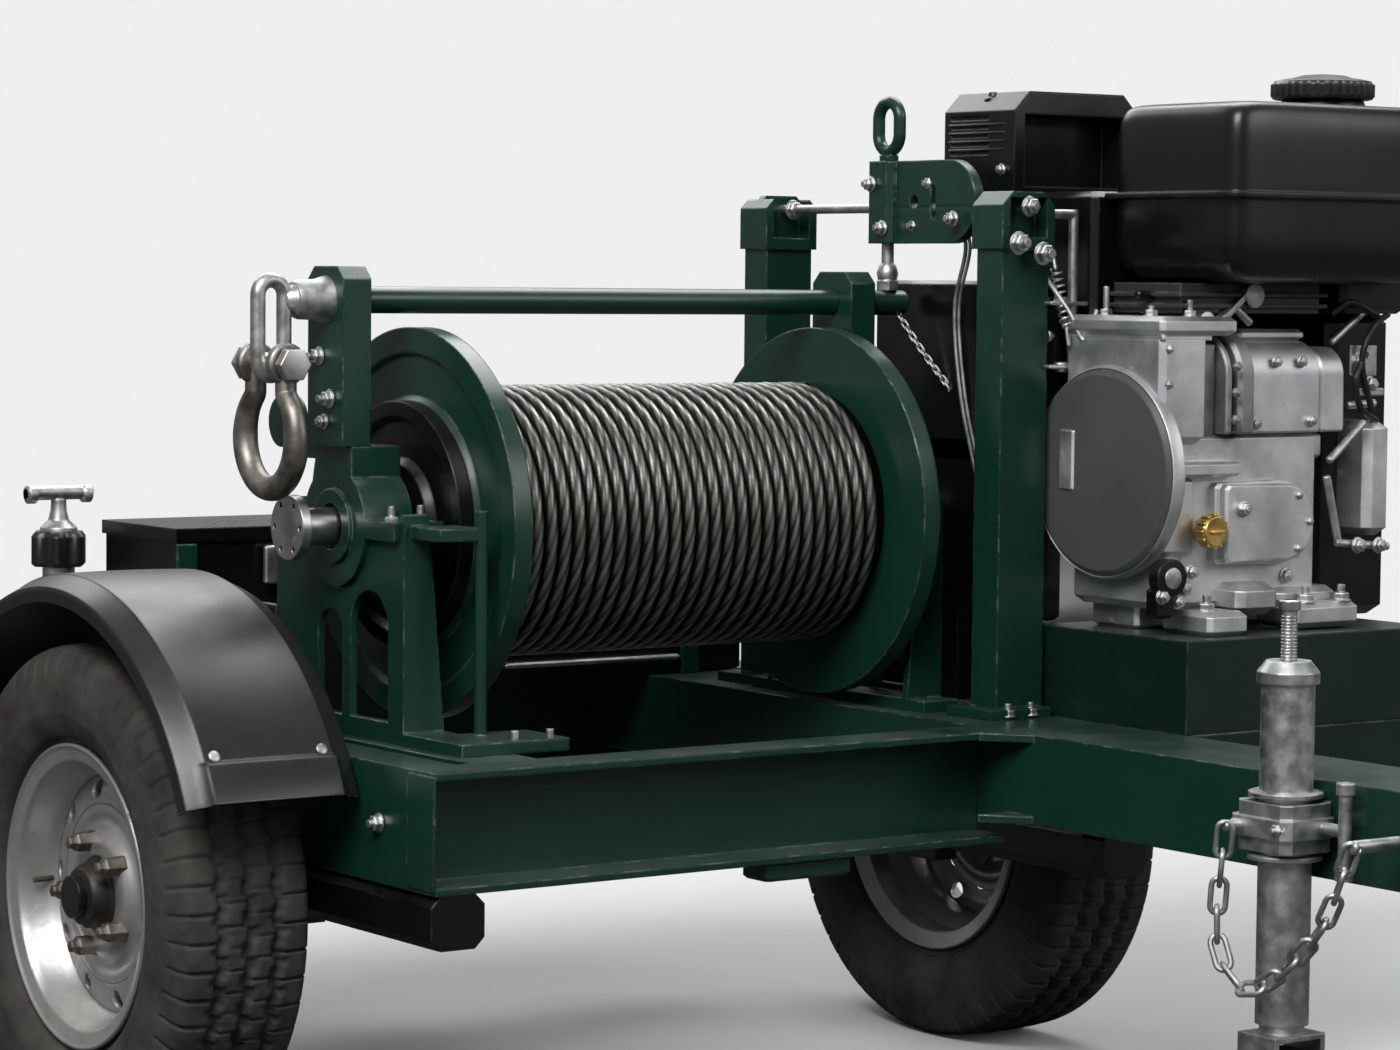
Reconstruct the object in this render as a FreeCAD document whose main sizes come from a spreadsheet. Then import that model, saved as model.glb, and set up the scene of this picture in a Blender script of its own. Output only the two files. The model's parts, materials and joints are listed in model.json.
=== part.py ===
import FreeCAD, Part

import math
import os
import re

import Sketcher
from FreeCAD import Placement, Rotation, Vector

# Trailer mounted rope winch: a smooth rope drum between two pedestals on a two wheel chassis,
# with a single cylinder engine on a bed beside the offset drawbar.
# Millimetres.  X runs along the axle and the drum, Y to the rear, Z up.  The origin is on the
# ground, under the middle of the axle.

# ---------------------------------------------------------------- driving dimensions
SIZES = {
    # road wheels, 10 inch rims
    "tyre_r": 240, "tyre_wide": 145, "tread_wide": 112, "track_half": 518, "bead_r": 127,
    "flange_r": 144.5, "rim_wide": 115, "rim_sheet": 4, "bead_inset": 7, "shoulder": 38,
    "sidewall": 32, "rim_lip": 6, "crown_drop": 4, "crown_edge": 14, "disc_out": 14,
    "disc_flat_r": 88, "disc_cone": 14, "disc_half": 3, "hub_r": 46, "hub_half": 45,
    "stub_r": 20, "stub_gap": 0.05, "stub_out": 62, "vent_r": 10, "vent_ring_r": 103, "vents": 12,
    # mudguards
    "guard_gap": 66, "guard_lip": 26, "guard_wide": 178, "guard_skin": 4, "guard_sweep": 134,
    "guard_crown": 12, "guard_edge": 24, "guard_set": 4, "strap_wide": 40, "strap_out": 75,
    "strap_drop": 60, "strap_set": 22, "hem_deep": 5, "hem_angle": 7,
    # chassis
    "deck_rise": 150, "wheel_gap": 25.5, "beam_tall": 110, "beam_flange": 50, "beam_sheet": 7,
    "frame_front": -398, "frame_rear": 380, "drawbar_inset": 60,
    "drawbar_wide": 125, "drawbar_tall": 88, "drawbar_nose": -1120, "drawbar_wall": 6,
    "knee_out": 35, "knee_long": 42, "knee_sheet": 8, "eye_r": 20, "eye_thick": 30,
    "eye_wall": 24, "eye_reach": 100, "shank_r": 19, "eye_plate": 14, "eye_plate_lip": 8,
    "bearer_inset": 68, "bearer_wide": 70, "bearer_tall": 60,
    "torsion_wide": 56, "torsion_tall": 50, "torsion_front": -395, "torsion_rear": 60,
    "torsion_corner": 10, "arm_set": 48, "arm_wide": 28, "arm_long": 120, "arm_tail": 25,
    "arm_low": 25, "arm_high": 14,
    # drum
    "drum_y": -88, "drum_rise": 200, "drum_left_gap": 78, "drum_right_gap": 61,
    "cheek_r": 190, "cheek_thick": 20, "cheek_dish": 5, "cheek_band": 24, "barrel_r": 101,
    "rope_r": 134, "rope_side": 0.3, "shaft_r": 22, "shaft_gap": 0.05, "brake_r": 119,
    "brake_wide": 16, "brake_rim": 14, "brake_recess": 7, "stub_flange_r": 31,
    "stub_flange_thick": 10, "stub_flange_out": 57, "stub_bolt_ring_r": 24, "stub_bolt_r": 3,
    "stub_bolts": 6, "stub_neck_r": 18, "shaft_tail": 40,
    # pedestals, bearings and uprights
    "web_set": 12, "right_web_set": 71, "pedestal_wide": 45, "fold_narrow": 27, "fold_over": 17,
    "pedestal_sheet": 8, "pedestal_half": 120, "foot_thick": 12, "foot_lip": 28,
    "window_low": 8, "window_near_y": -57, "window_near_half": 35, "window_near_spring": 95,
    "window_far_y": 16, "window_far_half": 23, "window_far_spring": 86, "bearing_r": 58,
    "bearing_nose_r": 36, "bearing_nose": 4, "bearing_wide": 54, "bearing_out": 6,
    "block_foot": 18, "saddle_rise": 77, "tab_wide": 118, "tab_front": 104, "tab_back": 28,
    "stay_r": 6, "stay_set": 55, "stay_front": 48, "stay_over": 22,
    "upright_wide": 31, "upright_deep": 66, "upright_over": 32, "upright_chamfer": 12,
    "left_upright_set": 16, "right_upright_set": 56, "knob_r": 25, "knob_wide": 16,
    "knob_back": 88, "knob_rise": 20, "knob_arm": 14,
    # tie bar, its eye and the shackle
    "tie_r": 13, "tie_rise": 216, "tie_left_out": 50, "tie_right_out": 39, "collar_r": 19,
    "collar_long": 30, "eye_link_r": 21, "eye_link_wire": 7, "eye_link_half": 31,
    "eye_link_set": 25, "eye_link_drop": 27, "pin_gap": 0.3, "pin_r": 11,
    "pin_over": 19, "ear_half": 29, "ear_r": 20, "ear_thick": 11, "bow_r": 49, "bow_wire": 12,
    "bow_drop": 69, "leg_drop": 25,
    # posts and lifting gear
    "post_set": 58, "post_wide": 60, "post_deep": 40, "post_front_y": -312, "post_rear_y": 85,
    "post_tall": 472, "post_foot": 10, "post_foot_lip": 15, "cap_skin": 4, "cap_seat": 12,
    "cap_tall": 58, "cap_ear": 6, "cap_roof": 6, "cap_well": 15, "cap_corner": 14, "lift_rise": 43,
    "lift_r": 5, "lift_over": 12,
    "block_low": 6, "block_tall": 86, "block_wide": 30, "block_deep": 40, "block_corner": 6,
    "arm_thick": 12, "lift_arm_long": 130, "arm_hole_r": 7, "arm_hole_set": 30,
    "arm_slot_set": 62, "arm_slot_r": 4, "arm_slot_half": 14, "loop_r": 17.5, "loop_wire": 6.5,
    "loop_half": 8, "loop_rise": 36, "stem_r": 10, "link_r": 6.5,
    # engine bed and engine
    "bed_wide": 340, "bed_front": -520, "bed_deep": 220, "bed_rise": 92, "bed_sheet": 8,
    "engine_set": 11, "engine_wide": 270, "engine_front": 55, "engine_back": 18,
    "foot_tall": 24, "foot_out": 40, "foot_in": 18, "case_tall": 171, "case_slope": 26,
    "upper_tall": 123, "upper_wide": 62, "upper_corner": 16, "roof_long": 240, "crank_y": -385,
    "crank_rise": 158, "cover_r": 104, "cover_wide": 11, "cover_lip": 5, "cover_boss_r": 30,
    "duct_r": 60, "duct_rise": 238, "duct_long": 262, "duct_flange_r": 67, "duct_flange": 14,
    "boss_r": 48, "boss_set": 138, "boss_rise": 112, "boss_out": 18, "filler_r": 17,
    "filler_neck_r": 12, "filler_set": 56, "filler_rise": 103, "filler_out": 22,
    "head_set": 44, "head_wide": 190, "head_inset": 24, "fin_out": 6, "fin": 4,
    "fin_pitch": 11, "fins": 2, "tank_set": 50, "tank_wide": 330, "tank_front": -525,
    "tank_deep": 210, "tank_rise": 348, "tank_half_tall": 87, "tank_upper_tall": 93,
    "tank_round": 22, "tank_belly": 40, "tank_inset": 10, "seam_thick": 6,
    "tank_cap_r": 52, "tank_cap_tall": 26, "tank_neck_r": 40, "tank_neck_tall": 8,
    "tank_cap_set": 215, "tank_cap_y": -420, "cleaner_set": 20, "cleaner_wide": 168,
    "cleaner_front": -224, "cleaner_deep": 114, "cleaner_low": 432, "cleaner_tall": 112,
    "cleaner_round": 20, "louvre": 4, "louvre_long": 62, "louvre_end": 10, "louvre_pitch": 9,
    "louvres": 5, "hanger_set": 42, "hanger_wide": 40, "mouth_deep": 40, "mouth_inset": 14,
    "muffler_r": 62, "muffler_y": -225, "muffler_rise": 300, "muffler_set": 60, "muffler_long": 220,
    "muffler_end": 12, "pipe_r": 18,
    # drive case and lever
    "case_reach": 86, "case_r": 75, "case_wide": 32, "case_foot": 40, "case_foot_set": 20,
    "lever_r": 5, "lever_over": 33, "lever_drop": 7, "lever_long": 153,
    # rear box
    "box_front": 220, "box_tall": 180, "rear_box_gap": 12, "rear_box_over": 10, "box_lid": 14,
    "box_lip": 5,
    # rear prop stand
    "prop_in": 37, "prop_out": 45, "prop_r": 17, "prop_rise": 129, "prop_foot_r": 55,
    "prop_foot": 8, "prop_wall": 7, "prop_lug": 40, "prop_socket_drop": 42, "prop_cap_r": 25,
    "prop_lobe_r": 8, "prop_lobes": 6, "prop_cap_tall": 37, "prop_stem": 41, "prop_bar_r": 8,
    "prop_bar_half": 38,
    # jockey stand and safety chain
    "jockey_out": 30, "jockey_y": -820, "jockey_r": 24, "jockey_inner_r": 20, "jockey_gap": 0.05,
    "jockey_rise": 97, "fork_clear": 9, "jockey_cap": 10, "dome_lip": 4, "screw_r": 7,
    "screw_long": 64, "clamp_low": 40, "clamp_tall": 44, "clamp_half": 34, "clamp_wall": 8,
    "clamp_rib": 4, "clamp_band_tall": 18, "handle_r": 6, "handle_out": 24, "handle_half": 36,
    "handle_set": 12, "leg_clear": 50, "wheel_r": 75, "wheel_wide": 45, "wheel_side": 3,
    "wheel_edge": 6, "fork_sheet": 5, "fork_half": 24, "fork_drop": 8, "blade_half": 14,
    "fork_pin_r": 8, "chain_r": 8.5, "chain_step": 2, "chain_gap": 6,
}

# Places that follow from the sizes.
PLACES = {
    "deck_z": "tyre_r + deck_rise",
    "beam_low": "deck_z - beam_tall",
    "frame_half": "track_half - tyre_wide / 2 - wheel_gap",
    "drawbar_left": "frame_half - drawbar_inset - drawbar_wide",
    "drawbar_right": "drawbar_left + drawbar_wide",
    "drawbar_low": "deck_z - drawbar_tall",
    "bearer_left": "bearer_inset - frame_half",
    "guard_r": "tyre_r + guard_gap",
    "guard_lip_r": "guard_r - guard_lip",
    "left_web": "bearer_left + web_set",
    "right_web": "drawbar_left + right_web_set",
    "drum_z": "deck_z + drum_rise",
    "drum_left": "left_web + drum_left_gap",
    "drum_right": "right_web - drum_right_gap",
    "stub_flange_left": "left_web - stub_flange_out",
    "left_upright": "left_web - left_upright_set",
    "right_upright": "right_web - right_upright_set",
    "saddle_top": "drum_z + saddle_rise",
    "tie_z": "drum_z + tie_rise",
    "upright_top": "tie_z + upright_over",
    "tie_left": "left_web - tie_left_out",
    "tie_right": "right_web + tie_right_out",
    "eye_link_x": "tie_left - eye_link_set",
    "eye_link_z": "tie_z - eye_link_drop",
    "pin_z": "eye_link_z - eye_link_half - eye_link_r + eye_link_wire + pin_r + pin_gap",
    "post_left": "drawbar_left + post_set",
    "post_right": "post_left + post_wide",
    "post_top": "deck_z + post_tall",
    "lift_x": "post_left + post_wide / 2",
    "lift_z": "post_top + lift_rise",
    "lift_low": "post_top + block_low",
    "lift_top": "lift_low + block_tall",
    "bed_left": "drawbar_right",
    "bed_right": "bed_left + bed_wide",
    "bed_rear": "bed_front + bed_deep",
    "bed_z": "deck_z + bed_rise",
    "engine_left": "bed_left + engine_set",
    "engine_right": "engine_left + engine_wide",
    "face_y": "bed_front + engine_front",
    "back_y": "bed_rear - engine_back",
    "foot_z": "bed_z + foot_tall",
    "seam_z": "foot_z + case_tall",
    "upper_z": "seam_z + upper_tall",
    "duct_z": "bed_z + duct_rise",
    "crank_z": "bed_z + crank_rise",
    "tank_left": "bed_left + tank_set",
    "tank_right": "tank_left + tank_wide",
    "tank_rear": "tank_front + tank_deep",
    "tank_low": "bed_z + tank_rise",
    "tank_seam": "tank_low + tank_half_tall",
    "tank_top": "tank_seam + tank_upper_tall",
    "cleaner_low_z": "bed_z + cleaner_low",
    "muffler_z": "bed_z + muffler_rise",
    "case_right": "bed_left + case_wide",
    "lever_x": "post_right + cap_skin + lever_over",
    "lever_z": "post_top + lift_rise - lever_drop",
    "prop_x": "prop_in - frame_half",
    "prop_y": "frame_rear + prop_out",
    "prop_top": "deck_z + prop_rise",
    "jockey_x": "drawbar_left - jockey_out",
    "jockey_top": "deck_z + jockey_rise",
    "jockey_low": "2 * wheel_r + fork_clear + fork_sheet + fork_drop",
    "clamp_z": "deck_z - clamp_low",
}

# The chain's course beside the tube: back from the tube's line, and up from the clamp's middle.
CHAIN_SPOTS = [(24, 0), (30, -104), (-14, -140), (-94, -80), (-134, 0)]

doc = FreeCAD.newDocument("trailer_winch")
sheet = doc.addObject("Spreadsheet::Sheet", "dims")
for row, (alias, value) in enumerate(SIZES.items(), start=1):
    sheet.set(f"A{row}", alias)
    sheet.set(f"B{row}", str(value))
    sheet.setAlias(f"B{row}", alias)
doc.recompute()

NODES = {}
WORD = r"[a-z_]+[a-z]"
TURN = {
    "x": Rotation(Vector(0, 1, 0), 90),
    "y": Rotation(Vector(1, 0, 0), -90),
    "z": Rotation(),
}
# turns that lay a loop across an axis with its own Y pointing up
LOOP = {"x": Rotation(Vector(1, 1, 1), 120), "y": Rotation(Vector(1, 0, 0), 90)}
PLANE = {"x": "YZ_Plane", "y": "XZ_Plane", "z": "XY_Plane"}
SIDES = (("left", -1), ("right", 1))


def full(text):
    """An expression with places spelled out and each size turned into its cell of the sheet."""
    text = str(text)
    while set(re.findall(WORD, text)) & set(PLACES):
        text = re.sub(WORD, lambda w: f"({PLACES[w[0]]})" if w[0] in PLACES else w[0], text)
    return re.sub(WORD, lambda w: "dims." + w[0] if w[0] in SIZES else w[0], text)


def num(text):
    return float(sheet.evalExpression(full(text)))


def bind(thing, prop, text):
    thing.setExpression(prop, full(text))


def across(middle, half):
    """A span's two ends, half to each side of the middle."""
    return f"{middle} - ({half})", f"{middle} + {half}"


def span(first, second):
    """A span's two ends, the lower one first."""
    return tuple(sorted((first, second), key=num))


def place(thing, x, y, z, turn=None):
    thing.Placement = Placement(Vector(num(x), num(y), num(z)), turn or Rotation())
    for letter, text in zip("xyz", (x, y, z)):
        bind(thing, "Placement.Base." + letter, text)
    return thing


def block(name, x, y, z):
    """A box between two expressions along each axis."""
    box = doc.addObject("Part::Box", name)
    for prop, (low, high) in zip(("Length", "Width", "Height"), (x, y, z)):
        bind(box, prop, f"({high}) - ({low})")
    return place(box, x[0], y[0], z[0])


def rod(name, axis, radius, ends, centre):
    """A round bar along an axis, between its two ends, at the centre's other two."""
    bar = doc.addObject("Part::Cylinder", name)
    bind(bar, "Radius", radius)
    bind(bar, "Height", f"({ends[1]}) - ({ends[0]})")
    at = {"x": (ends[0], *centre), "y": (centre[0], ends[0], centre[1]), "z": (*centre, ends[0])}
    return place(bar, *at[axis], TURN[axis])


def loop(name, axis, radius, wire, half, centre):
    """A long link of round wire standing up across the axis, two bends and two straights."""
    x, y, z = centre
    bends = []
    for turn, way in ((0, "+"), (180, "-")):
        bend = doc.addObject("Part::Torus", f"{name}_bend_{turn}")
        bind(bend, "Radius1", radius)
        bind(bend, "Radius2", wire)
        bend.Angle3 = 180
        lie = LOOP[axis].multiply(Rotation(Vector(0, 0, 1), turn))
        bends.append(place(bend, x, y, f"{z} {way} {half}", lie))
    spots = [(x, f"{y} {way} {radius}") if axis == "x" else (f"{x} {way} {radius}", y)
             for way in "-+"]
    sides = [rod(f"{name}_side_{i}", "z", wire, across(z, half), spot)
             for i, spot in enumerate(spots)]
    return fuse(name, *bends, *sides)


def fuse(name, *parts):
    joined = doc.addObject("Part::MultiFuse", name)
    joined.Shapes = list(parts)
    joined.Refine = True
    return joined


def cut(name, base, *tools):
    result = doc.addObject("Part::Cut", name)
    result.Base = base
    result.Tool = tools[0] if len(tools) == 1 else fuse(name + "_tools", *tools)
    result.Refine = True
    return result


def outline(body, axis, points):
    """A sketch on the body's plane across the axis, each corner tied to its expressions."""
    sketch = body.newObject("Sketcher::SketchObject", body.Name + "_outline")
    attach(sketch, body, PLANE[axis])
    spots = [Vector(num(u), num(v), 0) for u, v in points]
    count = len(points)
    for i in range(count):
        sketch.addGeometry(Part.LineSegment(spots[i], spots[(i + 1) % count]))
    for i in range(count):
        sketch.addConstraint(Sketcher.Constraint("Coincident", i, 2, (i + 1) % count, 1))
        tie_point(sketch, i, 1, points[i])
    return sketch


def attach(sketch, body, role):
    plane = next(o for o in body.Origin.OriginFeatures if o.Role == role)
    sketch.AttachmentSupport = [(plane, "")]
    sketch.MapMode = "FlatFace"


def tie_point(sketch, index, end, spot):
    for kind, text in zip(("DistanceX", "DistanceY"), spot):
        k = sketch.addConstraint(Sketcher.Constraint(kind, -1, 1, index, end, num(text)))
        bind(sketch, f"Constraints[{k}]", text)


def prism(name, axis, points, ends):
    """An outline carried along the axis, from the lower end to the upper one."""
    body = doc.addObject("PartDesign::Body", name)
    sketch = outline(body, axis, points)
    pad = body.newObject("PartDesign::Pad", name + "_pad")
    pad.Profile = sketch
    bind(pad, "Length", f"({ends[1]}) - ({ends[0]})")
    start = ends[1] if axis == "y" else ends[0]
    at = {"x": (start, 0, 0), "y": (0, start, 0), "z": (0, 0, start)}[axis]
    return place(body, *at)


def spun(name, points, centre=(0, 0, 0), upright=False, angle="360", turn=None):
    """A profile (along, out) turned about X, or about Z when upright."""
    body = doc.addObject("PartDesign::Body", name)
    if upright:
        points = [(out, along) for along, out in points]
    sketch = outline(body, "y", points)
    turned = body.newObject("PartDesign::Revolution", name + "_turn")
    turned.Profile = sketch
    turned.ReferenceAxis = (sketch, ["V_Axis" if upright else "H_Axis"])
    bind(turned, "Angle", angle)
    turned.Midplane = angle != "360"
    return place(body, *centre, turn)


def chamfered(left, right, low, high, corner, both=True):
    """A rectangle with its upper corners cut off, and its lower ones too when asked."""
    top = [(right, f"{high} - {corner}"), (f"{right} - {corner}", high),
           (f"{left} + {corner}", high), (left, f"{high} - {corner}")]
    if not both:
        return [(left, low), (right, low)] + top
    return [(left, f"{low} + {corner}"), (f"{left} + {corner}", low),
            (f"{right} - {corner}", low), (right, f"{low} + {corner}")] + top


def node(label, thing):
    thing.Label = label
    NODES[label] = thing
    return thing


# ---------------------------------------------------------------- chassis
def chassis():
    web = "(beam_flange - beam_sheet)"
    for label, lip, way in (("front_channel", "frame_front", "+"),
                            ("rear_channel", "frame_rear", "-")):
        back = f"{lip} {way} {web}"
        corner = f"{lip} {way} beam_flange"
        points = [(lip, "beam_low"), (corner, "beam_low"), (corner, "deck_z"), (lip, "deck_z"),
                  (lip, "deck_z - beam_sheet"), (back, "deck_z - beam_sheet"),
                  (back, "beam_low + beam_sheet"), (lip, "beam_low + beam_sheet")]
        if label == "front_channel":
            body = fuse(label, prism(label + "_left", "x", points, ("-frame_half", "drawbar_left")),
                        prism(label + "_right", "x", points, ("drawbar_right", "frame_half")))
        else:
            body = prism(label, "x", points, ("-frame_half", "frame_half"))
        node(label, body)
    between = ("frame_front + beam_flange", "frame_rear - beam_flange")
    for side, sign in SIDES:
        outer = f"{sign} * frame_half"
        inner = f"{sign} * (frame_half - beam_flange)"
        back = f"{sign} * (frame_half - beam_sheet)"
        points = [(outer, "beam_low"), (inner, "beam_low"), (inner, "beam_low + beam_sheet"),
                  (back, "beam_low + beam_sheet"), (back, "deck_z - beam_sheet"),
                  (inner, "deck_z - beam_sheet"), (inner, "deck_z"), (outer, "deck_z")]
        node(f"{side}_side_rail", prism(f"{side}_side_rail", "y", points, between))
    node("left_bearer", block("left_bearer", ("bearer_left", "bearer_left + bearer_wide"),
                              between, ("deck_z - bearer_tall", "deck_z")))
    drawbar()


def drawbar():
    rear = "frame_rear - beam_flange"
    shell = block("drawbar_shell", ("drawbar_left", "drawbar_right"), ("drawbar_nose", rear),
                  ("drawbar_low", "deck_z"))
    hollow = block("drawbar_hollow", ("drawbar_left + drawbar_wall", "drawbar_right - drawbar_wall"),
                   ("drawbar_nose - eye_plate", f"{rear} - drawbar_wide / 2"),
                   ("drawbar_low + drawbar_wall", "deck_z - drawbar_wall"))
    knee = [("drawbar_left - knee_out", "frame_front"),
            ("drawbar_left", "frame_front - knee_long"), ("drawbar_left", "frame_front")]
    node("drawbar", fuse(
        "drawbar", cut("drawbar_tube", shell, hollow),
        prism("gusset_top", "z", knee, ("deck_z - knee_sheet", "deck_z")),
        prism("gusset_bottom", "z", knee, ("drawbar_low", "drawbar_low + knee_sheet"))))
    middle, level = "(drawbar_left + drawbar_wide / 2)", "(deck_z - drawbar_tall / 2)"
    plate = block("eye_plate_block", ("drawbar_left", "drawbar_right"),
                  ("drawbar_nose - eye_plate", "drawbar_nose"),
                  ("drawbar_low - eye_plate_lip", "deck_z + eye_plate_lip"))
    shank = rod("eye_shank", "y", "shank_r",
                ("drawbar_nose - eye_reach + eye_r + eye_wall / 2", "drawbar_nose - eye_plate"),
                (middle, level))
    spot = (middle, "drawbar_nose - eye_reach")
    boss = rod("eye_boss", "z", "eye_r + eye_wall", across(level, "eye_thick / 2"), spot)
    bore = rod("eye_bore", "z", "eye_r", across(level, "eye_thick"), spot)
    node("towing_eye", cut("towing_eye", fuse("eye_solid", plate, shank, boss), bore))


# ---------------------------------------------------------------- road wheels
def running_gear():
    half, bead, tread = "tyre_wide / 2", "(rim_wide / 2 - bead_inset)", "tread_wide / 2"
    low_wall, high_wall = "flange_r + sidewall", "tyre_r - shoulder"
    points = [(f"-{bead}", "bead_r"), (f"-{bead}", "flange_r + rim_lip"),
              (f"-{half}", low_wall), (f"-{half}", high_wall),
              (f"-{tread}", "tyre_r - crown_drop"), (f"-{tread} + crown_edge", "tyre_r"),
              (f"{tread} - crown_edge", "tyre_r"), (tread, "tyre_r - crown_drop"),
              (half, high_wall), (half, low_wall), (bead, "flange_r + rim_lip"),
              (bead, "bead_r")]
    for side, sign in SIDES:
        axle = (f"{sign} * track_half", 0, "tyre_r")
        node(f"{side}_tyre", spun(f"{side}_tyre", points, axle))
        rim(side, sign, axle)
        suspension(side, sign)
        mudguard(side, sign)


def rim(side, sign, axle):
    """The rolled rim with its wheel disc, dished about the hub and pierced by a ring of vents."""
    edge, seat = "rim_wide / 2", "(rim_wide / 2 - bead_inset)"
    inside = "bead_r - rim_sheet"
    barrel = [(f"-{edge}", "flange_r"), (f"-{edge}", inside), (edge, inside),
              (edge, "flange_r"), (seat, "flange_r"), (seat, "bead_r"),
              (f"-{seat}", "bead_r"), (f"-{seat}", "flange_r")]
    face = f"{sign} * disc_out"
    cone = f"{face} + {sign} * disc_cone"
    dish = [(f"{face} - disc_half", 0), (f"{face} + disc_half", 0),
            (f"{face} + disc_half", "disc_flat_r"), (f"{cone} + disc_half", inside),
            (f"{cone} - disc_half", inside), (f"{face} - disc_half", "disc_flat_r")]
    hoop = spun(f"{side}_barrel", barrel, axle)
    disc = spun(f"{side}_disc", dish, axle)
    middle = f"{sign} * track_half"
    through = across(middle, "hub_half + disc_out + disc_cone")
    bore = rod(f"{side}_bore", "x", "stub_r + stub_gap", through, (0, "tyre_r"))
    vents = [rod(f"{side}_vent_{i}", "x", "vent_r", through,
                 (f"vent_ring_r * cos({i} * 360 / vents)",
                  f"tyre_r + vent_ring_r * sin({i} * 360 / vents)"))
             for i in range(SIZES["vents"])]
    hub = rod(f"{side}_hub_drum", "x", "hub_r", across(f"{middle} + {face}", "hub_half"),
              (0, "tyre_r"))
    node(f"{side}_rim", cut(f"{side}_rim", fuse(f"{side}_rim_solid", hoop, disc, hub),
                            bore, *vents))


def suspension(side, sign):
    """A rubber torsion unit under the side rail, its trailing arm and the stub axle."""
    rail = f"{sign} * (frame_half - beam_flange / 2)"
    box = prism(f"{side}_unit_box", "y", chamfered(
        f"{rail} - torsion_wide / 2", f"{rail} + torsion_wide / 2", "beam_low - torsion_tall",
        "beam_low", "torsion_corner"), ("torsion_front", "torsion_rear"))
    arm_x = span(f"{sign} * (frame_half - arm_set)", f"{sign} * (frame_half - arm_set + arm_wide)")
    arm = block(f"{side}_arm", arm_x, ("-arm_long", "arm_tail"),
                ("tyre_r - arm_low", "tyre_r + arm_high"))
    ends = span(f"{sign} * (frame_half - arm_set)", f"{sign} * (track_half + stub_out)")
    stub = rod(f"{side}_stub", "x", "stub_r", ends, (0, "tyre_r"))
    node(f"{side}_suspension", fuse(f"{side}_suspension", box, arm, stub))


def mudguard(side, sign):
    """A ridged skin turned about the axle, its side lips drawn in, its two ends hemmed."""
    near = f"{sign} * (frame_half + guard_set)"
    low, high = span(near, f"{near} + {sign} * guard_wide")
    points = [(low, "guard_lip_r"), (f"{low} + guard_skin", "guard_lip_r"),
              (f"{low} + guard_skin", "guard_r - guard_crown - guard_skin / 2"),
              (f"{low} + guard_edge", "guard_r - guard_skin"),
              (f"{high} - guard_edge", "guard_r - guard_skin"),
              (f"{high} - guard_skin", "guard_r - guard_crown - guard_skin / 2"),
              (f"{high} - guard_skin", "guard_lip_r"), (high, "guard_lip_r"),
              (high, "guard_r - guard_crown"), (f"{high} - guard_edge", "guard_r"),
              (f"{low} + guard_edge", "guard_r"), (low, "guard_r - guard_crown")]
    hem = [(f"{low} + guard_edge", "guard_r - guard_skin / 2"),
           (f"{high} - guard_edge", "guard_r - guard_skin / 2"),
           (f"{high} - guard_edge", "guard_r + hem_deep"),
           (f"{low} + guard_edge", "guard_r + hem_deep")]
    centre = (0, 0, "tyre_r")
    skin = spun(f"{side}_guard_skin", points, centre, angle="guard_sweep")
    lean = num("(guard_sweep - hem_angle) / 2")
    hems = [spun(f"{side}_guard_hem_{i}", hem, centre, angle="hem_angle",
                 turn=Rotation(Vector(1, 0, 0), way * lean)) for i, way in enumerate((-1, 1))]
    for band, way in zip(hems, (-1, 1)):
        bind(band, "Placement.Rotation.Angle", "(guard_sweep - hem_angle) / 2")
    gap = span(f"{sign} * frame_half", near)
    straps = [block(f"{side}_strap_{i}", gap, (y, f"{y} + strap_wide"),
                    ("deck_z - strap_drop", "tyre_r + guard_r - strap_set"))
              for i, y in enumerate(("-strap_out - strap_wide", "strap_out"))]
    node(f"{side}_mudguard", fuse(f"{side}_mudguard", skin, *hems, *straps))


# ---------------------------------------------------------------- winch
def pedestal(side, sign):
    """A folded channel standing on its beam, open towards the drum, with arched windows."""
    web = f"{side}_web"
    inwards = f"- {sign} *"
    sheet_x = span(web, f"{web} {inwards} pedestal_sheet")
    wide_x = span(web, f"{web} {inwards} pedestal_wide")
    foot, seat = "deck_z + foot_thick", "drum_z - block_foot / 2"
    front, back = across("drum_y", "pedestal_half")
    plate = block(f"{side}_plate", sheet_x, (front, back), (foot, seat))
    fold = [(web, foot), (f"{web} {inwards} pedestal_wide", foot),
            (f"{web} {inwards} fold_narrow", f"drum_z + fold_over"), (web, "drum_z + fold_over")]
    folds = [prism(f"{side}_fold_{i}", "y", fold, ends)
             for i, ends in enumerate(((front, f"{front} + pedestal_sheet"),
                                       (f"{back} - pedestal_sheet", back)))]
    base = block(f"{side}_base", wide_x, (f"{front} - foot_lip", f"{back} + foot_lip"),
                 ("deck_z", foot))
    through = across(web, "pedestal_wide / 2")
    tools = []
    for name, shift, half, spring in (
            ("near", "window_near_y", "window_near_half", "window_near_spring"),
            ("far", "window_far_y", "window_far_half", "window_far_spring")):
        middle = f"drum_y + {shift}"
        tools.append(block(f"{side}_{name}_window", through, across(middle, half),
                           (f"{foot} + window_low", f"{foot} + {spring}")))
        tools.append(rod(f"{side}_{name}_arch", "x", half, through,
                         (middle, f"{foot} + {spring}")))
    tools.append(rod(f"{side}_seat", "x", "bearing_r", across(web, "bearing_wide"),
                     ("drum_y", "drum_z")))
    parts = [plate, *folds, base]
    if side == "left":
        parts += stay(foot)
    node(f"{side}_pedestal", cut(f"{side}_pedestal", fuse(f"{side}_pedestal_solid", *parts),
                                 *tools))


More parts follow.
